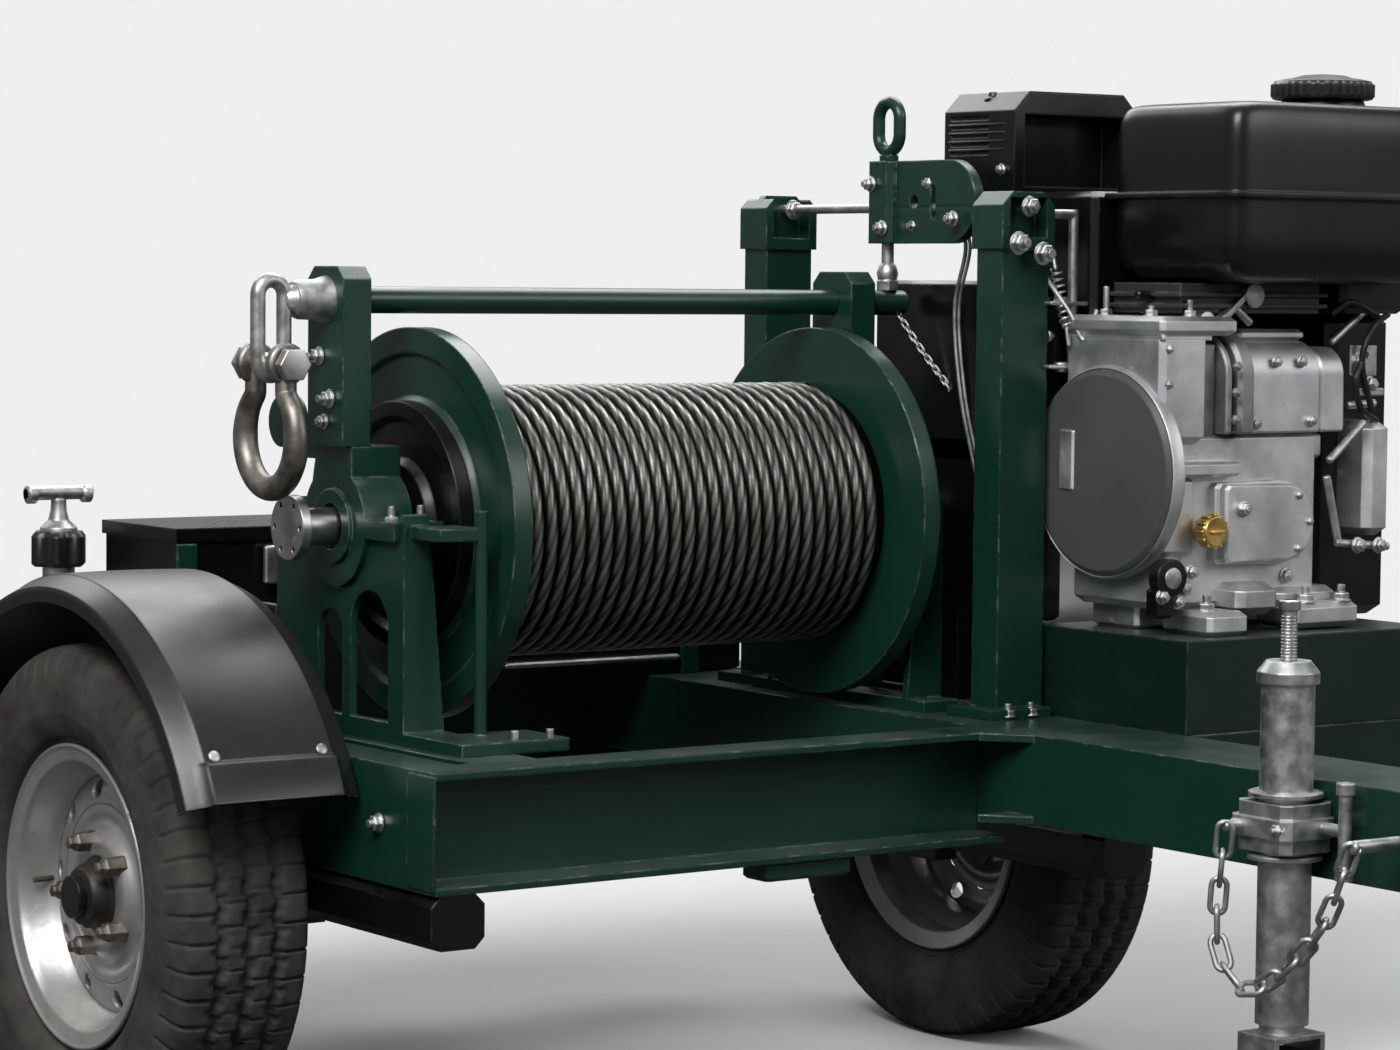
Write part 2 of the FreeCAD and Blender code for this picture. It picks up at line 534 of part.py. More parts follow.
def stay(foot):
    """The foot's front tab and the stay rod that stands on it beside the drum's cheek."""
    front = "drum_y - pedestal_half"
    tab = block("stay_tab", ("left_web", "left_web + tab_wide"),
                (f"{front} - tab_front", f"{front} - tab_back"), ("deck_z", foot))
    bar = rod("stay_bar", "z", "stay_r", (foot, f"drum_z + stay_over"),
              ("left_web + stay_set", f"{front} - stay_front"))
    arm = block("stay_arm", ("left_web + pedestal_sheet", "left_web + stay_set"),
                (f"{front} - stay_front - stay_r / 2", f"{front}"),
                ("drum_z - stay_r", "drum_z + stay_r"))
    return [tab, bar, arm]


def bearing(side, sign):
    """A split bearing: bowl and cap about the shaft, bolted ears, and a saddle on the cap."""
    web = f"{side}_web"
    outer = f"{web} + {sign} * bearing_out"
    ends = span(outer, f"{outer} - {sign} * bearing_wide")
    shell = rod(f"{side}_bearing_shell", "x", "bearing_r", ends, ("drum_y", "drum_z"))
    collar = rod(f"{side}_bearing_collar", "x", "bearing_nose_r",
                 across(f"({ends[0]} + {ends[1]}) / 2", "bearing_wide / 2 + bearing_nose"),
                 ("drum_y", "drum_z"))
    ears = block(f"{side}_bearing_ears", ends, across("drum_y", "pedestal_half - pedestal_sheet"),
                 across("drum_z", "block_foot / 2"))
    saddle = block(f"{side}_bearing_saddle", ends, across("drum_y", "upright_deep / 2"),
                   ("drum_z + bearing_r / 2", "saddle_top"))
    parts = [shell, collar, ears, saddle]
    if side == "left":
        arm_x = (ends[0], f"{ends[0]} + knob_wide / 2")
        spot = ("drum_y + knob_back", "saddle_top + knob_rise")
        parts.append(block("knob_arm_bar", arm_x, ("drum_y", spot[0]),
                           ("saddle_top - knob_arm", "saddle_top")))
        parts.append(rod("knob", "x", "knob_r", (f"{ends[0]} - knob_wide / 2", arm_x[1]), spot))
    bore = rod(f"{side}_bearing_bore", "x", "shaft_r + shaft_gap",
               across(web, "2 * bearing_wide"), ("drum_y", "drum_z"))
    node(f"{side}_bearing", cut(f"{side}_bearing", fuse(f"{side}_bearing_solid", *parts), bore))


def upright(side):
    left = f"{side}_upright"
    post = prism(f"{side}_upright_bar", "x", chamfered(
        *across("drum_y", "upright_deep / 2"), "saddle_top", "upright_top", "upright_chamfer",
        both=False), (left, f"{left} + upright_wide"))
    hole = rod(f"{side}_upright_hole", "x", "tie_r", across(left, "2 * upright_wide"),
               ("drum_y", "tie_z"))
    node(f"{side}_upright", cut(f"{side}_upright", post, hole))


def winch():
    for side, sign in SIDES:
        pedestal(side, sign)
        bearing(side, sign)
        upright(side)
    spine = ("drum_y", "drum_z")
    left_in, right_in = "drum_left + cheek_thick", "drum_right - cheek_thick"
    barrel = rod("drum_barrel", "x", "barrel_r", (left_in, right_in), spine)
    cheeks = []
    for side, start, way in (("left", "drum_left", 1), ("right", "drum_right", -1)):
        profile = [(f"{way} * {along}", out) for along, out in (
            ("0", "shaft_r"), ("cheek_thick", "shaft_r"), ("cheek_thick", "cheek_r"),
            ("0", "cheek_r"), ("0", "cheek_r - cheek_band"),
            ("cheek_dish", "cheek_r - cheek_band - cheek_dish"),
            ("cheek_dish", "brake_r + cheek_dish"), ("0", "brake_r"))]
        cheeks.append(spun(f"{side}_cheek", profile, (start, *spine)))
    bore = rod("drum_bore", "x", "shaft_r", ("left_web", "right_web"), spine)
    node("drum", cut("drum", fuse("drum_solid", barrel, *cheeks), bore))
    rope = rod("rope_solid", "x", "rope_r", (f"{left_in} + rope_side", f"{right_in} - rope_side"),
               spine)
    core = rod("rope_core", "x", "barrel_r", ("drum_left", "drum_right"), spine)
    node("rope_pack", cut("rope_pack", rope, core))
    drum_shaft(spine)
    drum = "drum_left - brake_wide"
    profile = [(f"{drum}", "shaft_r"), ("drum_left", "shaft_r"), ("drum_left", "brake_r"),
               (drum, "brake_r"), (drum, "brake_r - brake_rim"),
               (f"{drum} + brake_recess", "brake_r - brake_rim - brake_recess"),
               (f"{drum} + brake_recess", "bearing_r + brake_recess"), (drum, "bearing_r")]
    node("brake_drum", spun("brake_drum", profile, (0, *spine)))
    bar = rod("tie_rod", "x", "tie_r", ("tie_left", "tie_right"), ("drum_y", "tie_z"))
    collar = rod("tie_collar", "x", "collar_r", ("left_upright - collar_long", "left_upright"),
                 ("drum_y", "tie_z"))
    link = loop("tie_link", "y", "eye_link_r", "eye_link_wire", "eye_link_half",
                ("eye_link_x", "drum_y", "eye_link_z"))
    node("tie_bar", fuse("tie_bar", bar, collar, link))


def drum_shaft(spine):
    shaft = rod("shaft_bar", "x", "shaft_r", ("left_web", "right_web + shaft_tail"), spine)
    inner = "stub_flange_left + stub_flange_thick"
    flange = rod("shaft_flange", "x", "stub_flange_r", ("stub_flange_left", inner), spine)
    holes = [rod(f"flange_hole_{i}", "x", "stub_bolt_r",
                 across("stub_flange_left", "2 * stub_flange_thick"),
                 (f"drum_y + stub_bolt_ring_r * cos({i} * 360 / stub_bolts)",
                  f"drum_z + stub_bolt_ring_r * sin({i} * 360 / stub_bolts)"))
             for i in range(SIZES["stub_bolts"])]
    neck = rod("shaft_neck", "x", "stub_neck_r", (inner, "left_web"), spine)
    node("drum_shaft", fuse("drum_shaft", shaft, cut("holed_flange", flange, *holes), neck))


# ---------------------------------------------------------------- posts and lifting gear
def posts():
    """Two box posts with bracket caps, the lifting rod across them and the block on the rod."""
    outer = ("post_left - cap_skin", "post_right + cap_skin")
    for label, y in (("front_post", "post_front_y"), ("rear_post", "post_rear_y")):
        tube = block(label + "_tube", ("post_left", "post_right"), (y, f"{y} + post_deep"),
                     ("deck_z + post_foot", "post_top"))
        base = block(label + "_base", ("post_left - 2 * post_foot", "post_right"),
                     (f"{y} - post_foot_lip", f"{y} + post_deep + post_foot_lip"),
                     ("deck_z", "deck_z + post_foot"))
        deep = (f"{y} - cap_skin", f"{y} + post_deep + cap_skin")
        shape = chamfered(*outer, "post_top", "post_top + cap_tall", "cap_corner", both=False)
        solid = prism(label + "_cap_solid", "y", shape, deep)
        high = "post_top + cap_tall - cap_roof" if label == "front_post" else "post_top + cap_tall"
        wells = [block(f"{label}_cap_well_{i}", ("post_left + cap_ear", "post_right - cap_ear"),
                       ends, ("post_top + cap_seat", high))
                 for i, ends in enumerate(((f"{y} - 2 * cap_skin", f"{y} + cap_well"),
                                           (f"{y} + post_deep - cap_well",
                                            f"{y} + post_deep + 2 * cap_skin")))]
        hole = rod(label + "_cap_hole", "y", "lift_r", (f"{y} - post_deep", f"{y} + 2 * post_deep"),
                   ("lift_x", "lift_z"))
        node(label, fuse(label, tube, base, cut(label + "_cap", solid, *wells, hole)))
    node("lifting_rod", rod("lifting_rod", "y", "lift_r",
                            ("post_front_y - lift_over", "post_rear_y + post_deep + lift_over"),
                            ("lift_x", "lift_z")))
    lifting_block()
    link = loop("eye_loop", "x", "loop_r", "loop_wire", "loop_half",
                ("lift_x", "drum_y", "lift_top + loop_rise"))
    stem = rod("eye_stem", "z", "stem_r", ("lift_top", "lift_top + loop_wire"),
               ("lift_x", "drum_y"))
    node("lifting_eye", fuse("lifting_eye", stem, link))
    node("link_rod", rod("link_rod", "z", "link_r", ("tie_z + tie_r", "lift_low"),
                         ("lift_x", "drum_y")))


def lifting_block():
    high = ("lift_low", "lift_top")
    body = prism("lift_body", "z", chamfered(*across("lift_x", "block_wide / 2"),
                                             *across("drum_y", "block_deep / 2"), "block_corner"),
                 high)
    thick = across("lift_x", "arm_thick / 2")
    root = "(drum_y - block_deep / 2)"
    middle = "(lift_low + block_tall / 2)"
    tip = f"{root} - lift_arm_long + block_tall / 2"
    arm = block("lift_arm", thick, (tip, root), high)
    nose = rod("lift_arm_nose", "x", "block_tall / 2", thick, (tip, middle))
    wide = across("lift_x", "arm_thick")
    tools = [rod("arm_hole", "x", "arm_hole_r", wide, (f"{root} - arm_hole_set", middle))]
    spot = f"{root} - arm_slot_set"
    tools.append(block("arm_slot", wide, across(spot, "arm_slot_r"),
                       across(middle, "arm_slot_half")))
    tools += [rod(f"arm_slot_{i}", "x", "arm_slot_r", wide, (spot, f"{middle} {way} arm_slot_half"))
              for i, way in enumerate("-+")]
    tools.append(rod("lift_bore", "y", "lift_r",
                     ("drum_y - block_deep - lift_arm_long", "drum_y + block_deep"),
                     ("lift_x", "lift_z")))
    node("lifting_block", cut("lifting_block", fuse("lift_solid", body, arm, nose), *tools))


# ---------------------------------------------------------------- engine
def engine():
    """A single cylinder engine on its bed, with the tank, air cleaner and silencer above it."""
    shell = block("bed_shell", ("bed_left", "bed_right"), ("bed_front", "bed_rear"),
                  ("deck_z", "bed_z"))
    hollow = block("bed_hollow", ("bed_left + bed_sheet", "bed_right - bed_sheet"),
                   ("bed_front + bed_sheet", "bed_rear - bed_sheet"),
                   ("deck_z - bed_sheet", "bed_z - bed_sheet"))
    node("engine_bed", cut("engine_bed", shell, hollow))
    engine_block()
    node("flywheel_cover", spun("flywheel_cover", [
        ("-cover_wide", 0), ("-cover_wide", "cover_boss_r"),
        ("cover_lip - cover_wide", "cover_boss_r + cover_lip"),
        ("cover_lip - cover_wide", "cover_r - 2 * cover_lip"),
        ("-cover_wide", "cover_r - cover_lip"), ("-cover_wide", "cover_r - cover_lip / 2"),
        ("cover_lip - cover_wide", "cover_r"), ("0", "cover_r"), ("0", 0)],
        ("engine_left", "crank_y", "crank_z")))
    head = [block("head_core", ("engine_left + head_set", "engine_left + head_set + head_wide"),
                  ("face_y + head_inset", "back_y - head_inset"), ("upper_z", "tank_low"))]
    head += [block(f"head_fin_{i}", ("engine_left + head_set - fin_out",
                                     "engine_left + head_set + head_wide + fin_out"),
                   ("face_y + head_inset - fin_out", "back_y - head_inset + fin_out"),
                   (f"upper_z + fin_pitch * {i + 0.5}", f"upper_z + fin_pitch * {i + 0.5} + fin"))
             for i in range(SIZES["fins"])]
    node("cylinder_head", fuse("cylinder_head", *head))
    tank()
    air_cleaner()
    filler = ("engine_left + filler_set", "bed_z + filler_rise")
    node("oil_filler", fuse(
        "oil_filler", rod("filler_cap", "y", "filler_r",
                          ("face_y - filler_out", "face_y - filler_out / 2"), filler),
        rod("filler_neck", "y", "filler_neck_r", ("face_y - filler_out / 2", "face_y"), filler)))
    left, right = "engine_left + muffler_set", "engine_left + muffler_set + muffler_long"
    can = spun("muffler_can", [
        (left, 0), (left, "muffler_r - muffler_end"), (f"{left} + muffler_end", "muffler_r"),
        (f"{right} - muffler_end", "muffler_r"), (right, "muffler_r - muffler_end"), (right, 0)],
        (0, "muffler_y", "muffler_z"))
    pipe = rod("muffler_pipe", "y", "pipe_r", ("back_y", "muffler_y"),
               (f"({left} + {right}) / 2", "muffler_z"))
    node("muffler", fuse("muffler", can, pipe))


def engine_block():
    """Crankcase and upper housing, the ribbed cylinder lying along X, and the round cover."""
    deep = ("face_y", "back_y")
    case = prism("crank_case", "y", [
        ("engine_left", "foot_z + case_slope"), ("engine_left + case_slope", "foot_z"),
        ("engine_right - case_slope", "foot_z"), ("engine_right", "foot_z + case_slope"),
        ("engine_right", "seam_z"), ("engine_left", "seam_z")], deep)
    upper = prism("upper_housing", "y", chamfered(
        "engine_left", "engine_left + upper_wide", "seam_z", "upper_z", "upper_corner",
        both=False), deep)
    roof = block("upper_roof", ("engine_left + upper_wide", "engine_left + roof_long"),
                 ("face_y + duct_r", "back_y"), ("seam_z", "upper_z"))
    lie = ("face_y + duct_flange_r", "duct_z")
    duct = [rod("duct", "x", "duct_r", ("engine_left", "engine_left + duct_long"), lie),
            rod("duct_flange", "x", "duct_flange_r",
                ("engine_left + upper_wide", "engine_left + upper_wide + duct_flange"), lie),
            rod("duct_end", "x", "duct_flange_r",
                ("engine_left + duct_long - duct_flange", "engine_left + duct_long"), lie)]
    cover_spot = ("engine_left + boss_set", "bed_z + boss_rise")
    cover = spun("round_cover", [
        ("0", 0), ("0", "boss_r"), ("-boss_out / 2", "boss_r"),
        ("-boss_out", "boss_r - boss_out / 2"), ("-boss_out", 0)], turn=Rotation(
            Vector(0, 0, 1), 90))
    place(cover, cover_spot[0], "face_y", cover_spot[1], Rotation(Vector(0, 0, 1), 90))
    feet = prism("crank_feet", "x", [
        ("face_y - foot_out", "bed_z"), ("back_y", "bed_z"), ("back_y", "foot_z"),
        ("face_y", "foot_z + foot_tall"), ("face_y - foot_out", "foot_z")],
        ("engine_left + foot_in", "engine_right - foot_in"))
    node("engine_block", fuse("engine_block", case, upper, roof, *duct, cover, feet))


def tank():
    """Two pressed halves meeting at a flange, the cap's neck on top."""
    near, far = ("tank_left", "tank_right"), ("tank_front", "tank_rear")
    low = prism("tank_low_half", "x", [
        ("tank_front + tank_inset", "tank_seam"),
        ("tank_front + tank_inset", "tank_low + tank_belly"),
        ("tank_front + tank_belly", "tank_low"), ("tank_rear - tank_belly", "tank_low"),
        ("tank_rear - tank_inset", "tank_low + tank_belly"),
        ("tank_rear - tank_inset", "tank_seam")],
        ("tank_left + tank_inset", "tank_right - tank_inset"))
    high = prism("tank_high_half", "x", [
        ("tank_front + tank_inset", "tank_seam"), ("tank_rear - tank_inset", "tank_seam"),
        ("tank_rear - tank_inset", "tank_top - tank_round"),
        ("tank_rear - tank_inset - tank_round", "tank_top"),
        ("tank_front + tank_inset + tank_round", "tank_top"),
        ("tank_front + tank_inset", "tank_top - tank_round")],
        ("tank_left + tank_inset", "tank_right - tank_inset"))
    doc.recompute()
    rounded = doc.addObject("Part::Fillet", "tank_high_rounded")
    rounded.Base = high
    size = num("tank_round / 2")
    rounded.Edges = [(i, size, size) for i, edge in enumerate(high.Shape.Edges, 1)
                     if edge.BoundBox.ZMin > num("tank_seam + seam_thick")
                     and edge.BoundBox.XLength < num("tank_round")]
    seam = prism("tank_seam_flange", "z", chamfered(*near, *far, "tank_round"),
                 across("tank_seam", "seam_thick / 2"))
    spot = ("tank_left + tank_cap_set", "tank_cap_y")
    neck = rod("tank_neck", "z", "tank_neck_r",
               ("tank_top - seam_thick", "tank_top + tank_neck_tall"), spot)
    node("fuel_tank", fuse("fuel_tank", low, rounded, seam, neck))
    node("fuel_cap", spun("fuel_cap", [
        ("tank_neck_tall", 0), ("tank_neck_tall", "tank_cap_r"),
        ("tank_cap_tall", "tank_cap_r"), ("tank_cap_tall + tank_neck_tall", "tank_neck_r"),
        ("tank_cap_tall + tank_neck_tall", 0)], (*spot, "tank_top"), upright=True))


def air_cleaner():
    """A moulded box with a rounded top, its front half recessed and its side louvred."""
    left, right = "bed_left + cleaner_set", "bed_left + cleaner_set + cleaner_wide"
    near, far = "cleaner_front", "cleaner_front + cleaner_deep"
    low, high = "cleaner_low_z", "cleaner_low_z + cleaner_tall"
    shell = prism("cleaner_shell", "y", chamfered(left, right, low, high, "cleaner_round",
                                                  both=False), (near, far))
    mouth = block("cleaner_mouth", (f"{left} + mouth_inset", f"{right} - mouth_inset"),
                  (f"{near} - mouth_inset", f"{near} + mouth_deep"),
                  (f"{low} + mouth_inset", f"{high} - mouth_inset - cleaner_round / 2"))
    slots = [block(f"cleaner_louvre_{i}", (f"{left} - louvre", f"{left} + louvre / 2"),
                   (f"{far} - louvre_long - louvre_end", f"{far} - louvre_end"),
                   (f"{high} - cleaner_round - louvre_pitch * {i + 1}",
                    f"{high} - cleaner_round - louvre_pitch * {i + 1} + louvre"))
             for i in range(SIZES["louvres"])]
    hanger = block("cleaner_hanger", (f"{left} + hanger_set", f"{left} + hanger_set + hanger_wide"),
                   ("tank_rear", near), across("tank_seam", "seam_thick / 2"))
    node("air_cleaner", fuse("air_cleaner", cut("cleaner_box", shell, mouth, *slots), hanger))


def drive():
    """The closed case over the drive to the drum shaft, and the lever beside the front post."""
    far, near = "drum_y", "drum_y - case_reach"
    wide = ("bed_left", "case_right")
    middle = block("case_middle", wide, (near, far), across("drum_z", "case_r"))
    ends = [rod(f"case_end_{i}", "x", "case_r", wide, (y, "drum_z"))
            for i, y in enumerate((near, far))]
    foot = block("case_stand", ("frame_half - beam_flange", "case_right"),
                 (f"{near} + case_foot_set", f"{near} + case_foot_set + case_foot"),
                 ("deck_z", "drum_z"))
    node("drive_guard", fuse("drive_guard", middle, *ends, foot))
    lever_y = "post_front_y + lever_r"
    arm = rod("lever_across", "x", "lever_r", ("post_right + cap_skin", "lever_x"),
              (lever_y, "lever_z"))
    down = rod("lever_down", "z", "lever_r", ("lever_z - lever_long", "lever_z + lever_r"),
               ("lever_x", lever_y))
    node("control_lever", fuse("control_lever", arm, down))


def rear_box():
    """A closed box across the rear of the deck, its lid lipped over the front."""
    right = "right_web - rear_box_gap"
    body = block("rear_box_body", ("left_web - rear_box_over", right), ("box_front", "frame_rear"),
                 ("deck_z", "deck_z + box_tall - box_lid"))
    lid = block("rear_box_lid", ("left_web - rear_box_over - box_lip", f"{right} + box_lip"),
                ("box_front - box_lip", "frame_rear"),
                ("deck_z + box_tall - box_lid", "deck_z + box_tall"))
    node("rear_box", fuse("rear_box", body, lid))


# ---------------------------------------------------------------- jockey stand and props
def jockey():
    spine = ("jockey_x", "jockey_y")
    outer = rod("jockey_outer", "z", "jockey_r", ("jockey_low", "jockey_top - jockey_cap"), spine)
    dome = spun("jockey_dome", [
        ("-jockey_cap", 0), ("-jockey_cap", "jockey_r + dome_lip"), ("0", "jockey_r + dome_lip"),
        ("jockey_cap", "jockey_r - dome_lip"), ("jockey_cap", 0)],
        (*spine, "jockey_top"), upright=True)
    bore = rod("jockey_bore", "z", "jockey_inner_r + jockey_gap",
               ("jockey_low - jockey_cap", "jockey_top - jockey_cap"), spine)
    screw = rod("jockey_screw", "z", "screw_r", ("jockey_top", "jockey_top + screw_long"), spine)
    node("jockey_tube", fuse("jockey_tube", cut("jockey_sleeve", outer, bore), dome, screw))
    jockey_clamp(spine)
    leg = rod("jockey_leg", "z", "jockey_inner_r",
              ("jockey_low - fork_drop", "jockey_top - leg_clear"), spine)
    half = "(wheel_wide / 2 + wheel_side)"
    high = "jockey_low - fork_drop"
    crown = block("fork_crown", across("jockey_x", f"{half} + fork_sheet"),
                  across("jockey_y", "fork_half"), (f"{high} - fork_sheet", high))
    blades = [prism(f"fork_blade_{i}", "x", [
        ("jockey_y - fork_half", high), ("jockey_y - fork_half", f"{high} - fork_half"),
        ("jockey_y - blade_half", f"wheel_r - blade_half"),
        ("jockey_y + blade_half", f"wheel_r - blade_half"),
        ("jockey_y + fork_half", f"{high} - fork_half"), ("jockey_y + fork_half", high)], ends)
        for i, ends in enumerate(((f"jockey_x - {half} - fork_sheet", f"jockey_x - {half}"),
                                  (f"jockey_x + {half}", f"jockey_x + {half} + fork_sheet")))]
    axle = rod("fork_axle", "x", "fork_pin_r", across("jockey_x", f"{half} + fork_sheet"),
               ("jockey_y", "wheel_r"))
    node("jockey_fork", fuse("jockey_fork", leg, crown, *blades, axle))
    tyre = spun("jockey_tread", [
        ("-wheel_wide / 2", 0), ("-wheel_wide / 2", "wheel_r - wheel_edge"),
        ("wheel_edge - wheel_wide / 2", "wheel_r"), ("wheel_wide / 2 - wheel_edge", "wheel_r"),
        ("wheel_wide / 2", "wheel_r - wheel_edge"), ("wheel_wide / 2", 0)],
        ("jockey_x", "jockey_y", "wheel_r"))
    bore = rod("jockey_wheel_bore", "x", "fork_pin_r + jockey_gap",
               across("jockey_x", "wheel_wide"), ("jockey_y", "wheel_r"))
    node("jockey_wheel", cut("jockey_wheel", tyre, bore))


def jockey_clamp(spine):
    """The split clamp round the tube, its screw handle on the right, and the hanging chain."""
    low, high = across("clamp_z", "clamp_tall / 2")
    left = "jockey_x - jockey_r - clamp_wall"
    body = prism("clamp_block", "z", chamfered(
        left, "drawbar_left", *across("jockey_y", "clamp_half"), "clamp_wall"), (low, high))
    band = prism("clamp_band", "z", chamfered(
        f"{left} - clamp_rib", "drawbar_left", *across("jockey_y", "clamp_half + clamp_rib"),
        "clamp_wall"), across("clamp_z", "clamp_band_tall / 2"))
    hole = rod("clamp_hole", "z", "jockey_r", across("clamp_z", "clamp_tall"), spine)
    front = "jockey_y - clamp_half - clamp_rib"
    arm = rod("clamp_screw", "y", "handle_r", (f"{front} - handle_out", front),
              ("jockey_x + handle_set", "clamp_z"))
    bar = rod("clamp_handle", "z", "handle_r", across("clamp_z", "handle_half"),
              ("jockey_x + handle_set", f"{front} - handle_out"))
    node("jockey_clamp", fuse("jockey_clamp", cut("clamp_sleeve", fuse("clamp_solid", body, band),
                                                  hole), arm, bar))
    x = f"{left} - clamp_rib - chain_r - chain_gap"
    spots = CHAIN_SPOTS
    links = []
    for i, ((ya, za), (yb, zb)) in enumerate(zip(spots, spots[1:])):
        run = doc.addObject("Part::Cylinder", f"chain_run_{i}")
        lie = Vector(0, yb - ya, zb - za)
        bind(run, "Radius", "chain_r")
        bind(run, "Height", str(lie.Length))
        place(run, x, f"jockey_y + {ya}", f"clamp_z + {za}", Rotation(Vector(0, 0, 1), lie))
        knot = doc.addObject("Part::Sphere", f"chain_knot_{i}")
        bind(knot, "Radius", "chain_r")
        links += [run, place(knot, x, f"jockey_y + {yb}", f"clamp_z + {zb}")]
    y, z = spots[-1]
    home = rod("chain_home", "x", "chain_r - chain_step", (x, "drawbar_left"),
               (f"jockey_y + {y}", f"clamp_z + {z}"))
    y, z = spots[0]
    start = rod("chain_start", "x", "chain_r - chain_step", (x, f"{left} - clamp_rib"),
                (f"jockey_y + {y}", f"clamp_z + {z}"))
    node("safety_chain", fuse("safety_chain", *links, home, start))


def rear_prop():
    spot = ("prop_x", "prop_y")
    leg = rod("prop_leg", "z", "prop_r", ("prop_foot", "prop_top"), spot)
    foot = spun("prop_foot_disc", [
        ("0", 0), ("0", "prop_foot_r"), ("prop_foot", "prop_foot_r"),
        ("2 * prop_foot", "prop_r"), ("2 * prop_foot", 0)], (*spot, 0), upright=True)
    node("rear_prop_leg", fuse("rear_prop_leg", leg, foot))
    socket = rod("prop_socket", "z", "prop_r + prop_wall",
                 ("beam_low", "prop_top - prop_socket_drop"), spot)
    lug = block("prop_lug", across("prop_x", "prop_lug / 2"), ("frame_rear", "prop_y"),
                ("beam_low", "deck_z"))
    hole = rod("prop_hole", "z", "prop_r", ("prop_foot_r", "prop_top"), spot)
    node("rear_prop_socket", cut("rear_prop_socket", fuse("prop_solid", socket, lug), hole))
    cap = rod("prop_cap", "z", "prop_cap_r", ("prop_top", "prop_top + prop_cap_tall"), spot)
    lobes = [rod(f"prop_lobe_{i}", "z", "prop_lobe_r", ("prop_top", "prop_top + prop_cap_tall"),
                 (f"prop_x + prop_cap_r * cos({i} * 360 / prop_lobes)",
                  f"prop_y + prop_cap_r * sin({i} * 360 / prop_lobes)"))
             for i in range(SIZES["prop_lobes"])]
    bar_z = "prop_top + prop_cap_tall + prop_stem"
    stem = rod("prop_stem_rod", "z", "prop_bar_r", ("prop_top + prop_cap_tall", bar_z), spot)
    bar = rod("prop_bar", "x", "prop_bar_r", across("prop_x", "prop_bar_half"),
              ("prop_y", bar_z))
    node("rear_prop_handle", fuse("rear_prop_handle", cap, *lobes, stem, bar))


def shackle():
    """A bow shackle hanging in the tie bar's eye: the bow, its two ears and the pin."""
    body = doc.addObject("PartDesign::Body", "shackle_body")
    spine = body.newObject("Sketcher::SketchObject", "bow_line")
    attach(spine, body, "YZ_Plane")
    leg, radius, drop, half = num("leg_drop"), num("bow_r"), num("bow_drop"), num("ear_half")
    flare = (half ** 2 + (drop - leg) ** 2 - radius ** 2) / (2 * (radius - half))
    turn = math.atan2(drop - leg, half + flare)
    spine.addGeometry(Part.LineSegment(Vector(half, 0, 0), Vector(half, -leg, 0)))
    out = Part.Circle(Vector(half + flare, -leg, 0), Vector(0, 0, 1), flare)
    spine.addGeometry(Part.ArcOfCircle(out, math.pi, math.pi + turn))
    bow = Part.Circle(Vector(0, -drop, 0), Vector(0, 0, 1), radius)
    spine.addGeometry(Part.ArcOfCircle(bow, math.pi - turn, math.tau + turn))
    back = Part.Circle(Vector(-half - flare, -leg, 0), Vector(0, 0, 1), flare)
    spine.addGeometry(Part.ArcOfCircle(back, math.tau - turn, math.tau))
    spine.addGeometry(Part.LineSegment(Vector(-half, -leg, 0), Vector(-half, 0, 0)))
    for pair in ((0, 2, 1, 1), (1, 2, 2, 2), (2, 1, 3, 1), (3, 2, 4, 1)):
        spine.addConstraint(Sketcher.Constraint("Tangent", *pair))
    spine.addConstraint(Sketcher.Constraint("Vertical", 0))
    spine.addConstraint(Sketcher.Constraint("Symmetric", 0, 1, 4, 2, -2))
    spine.addConstraint(Sketcher.Constraint("Symmetric", 0, 2, 4, 1, -2))
    for kind, first, end, value, text in (
            ("DistanceX", 0, 1, half, "ear_half"), ("DistanceY", 0, 1, 0, "0"),
            ("DistanceY", 0, 2, -leg, "-leg_drop"), ("DistanceX", 2, 3, 0, "0"),
            ("DistanceY", 2, 3, -drop, "-bow_drop")):
        k = spine.addConstraint(Sketcher.Constraint(kind, -1, 1, first, end, value))
        bind(spine, f"Constraints[{k}]", text)
    k = spine.addConstraint(Sketcher.Constraint("Radius", 2, radius))
    bind(spine, f"Constraints[{k}]", "bow_r")
    section = body.newObject("Sketcher::SketchObject", "bow_section")
    attach(section, body, "XY_Plane")
    i = section.addGeometry(Part.Circle(Vector(0, half, 0), Vector(0, 0, 1), num("bow_wire")))
    tie_point(section, i, 3, ("0", "ear_half"))
    k = section.addConstraint(Sketcher.Constraint("Radius", i, num("bow_wire")))
    bind(section, f"Constraints[{k}]", "bow_wire")
    pipe = body.newObject("PartDesign::AdditivePipe", "bow_pipe")
    pipe.Profile = section
    pipe.Spine = spine
    place(body, "eye_link_x", "drum_y", "pin_z")
    spot = ("eye_link_x", "pin_z")
    pin = rod("shackle_pin", "y", "pin_r", across("drum_y", "ear_half + pin_over"), spot)
    ears = [rod(f"shackle_ear_{i}", "y", "ear_r",
                across(f"drum_y {way} ear_half", "ear_thick"), spot)
            for i, way in enumerate("+-")]
    node("shackle", fuse("shackle", body, pin, *ears))


chassis()
running_gear()
winch()
posts()
engine()
drive()
rear_box()
jockey()
rear_prop()
shackle()

# ---------------------------------------------------------------- build, test and write
doc.recompute()
for thing in doc.Objects:
    if {"Invalid", "Error"} & set(thing.State):
        raise RuntimeError(f"{thing.Label} failed: {thing.State}")
os.makedirs("parts", exist_ok=True)
for label, thing in NODES.items():
    shape = thing.Shape
    if shape.isNull() or not shape.isValid():
        raise RuntimeError(f"{label} has no sound shape")
    shape.exportStep(f"parts/{label}.step")
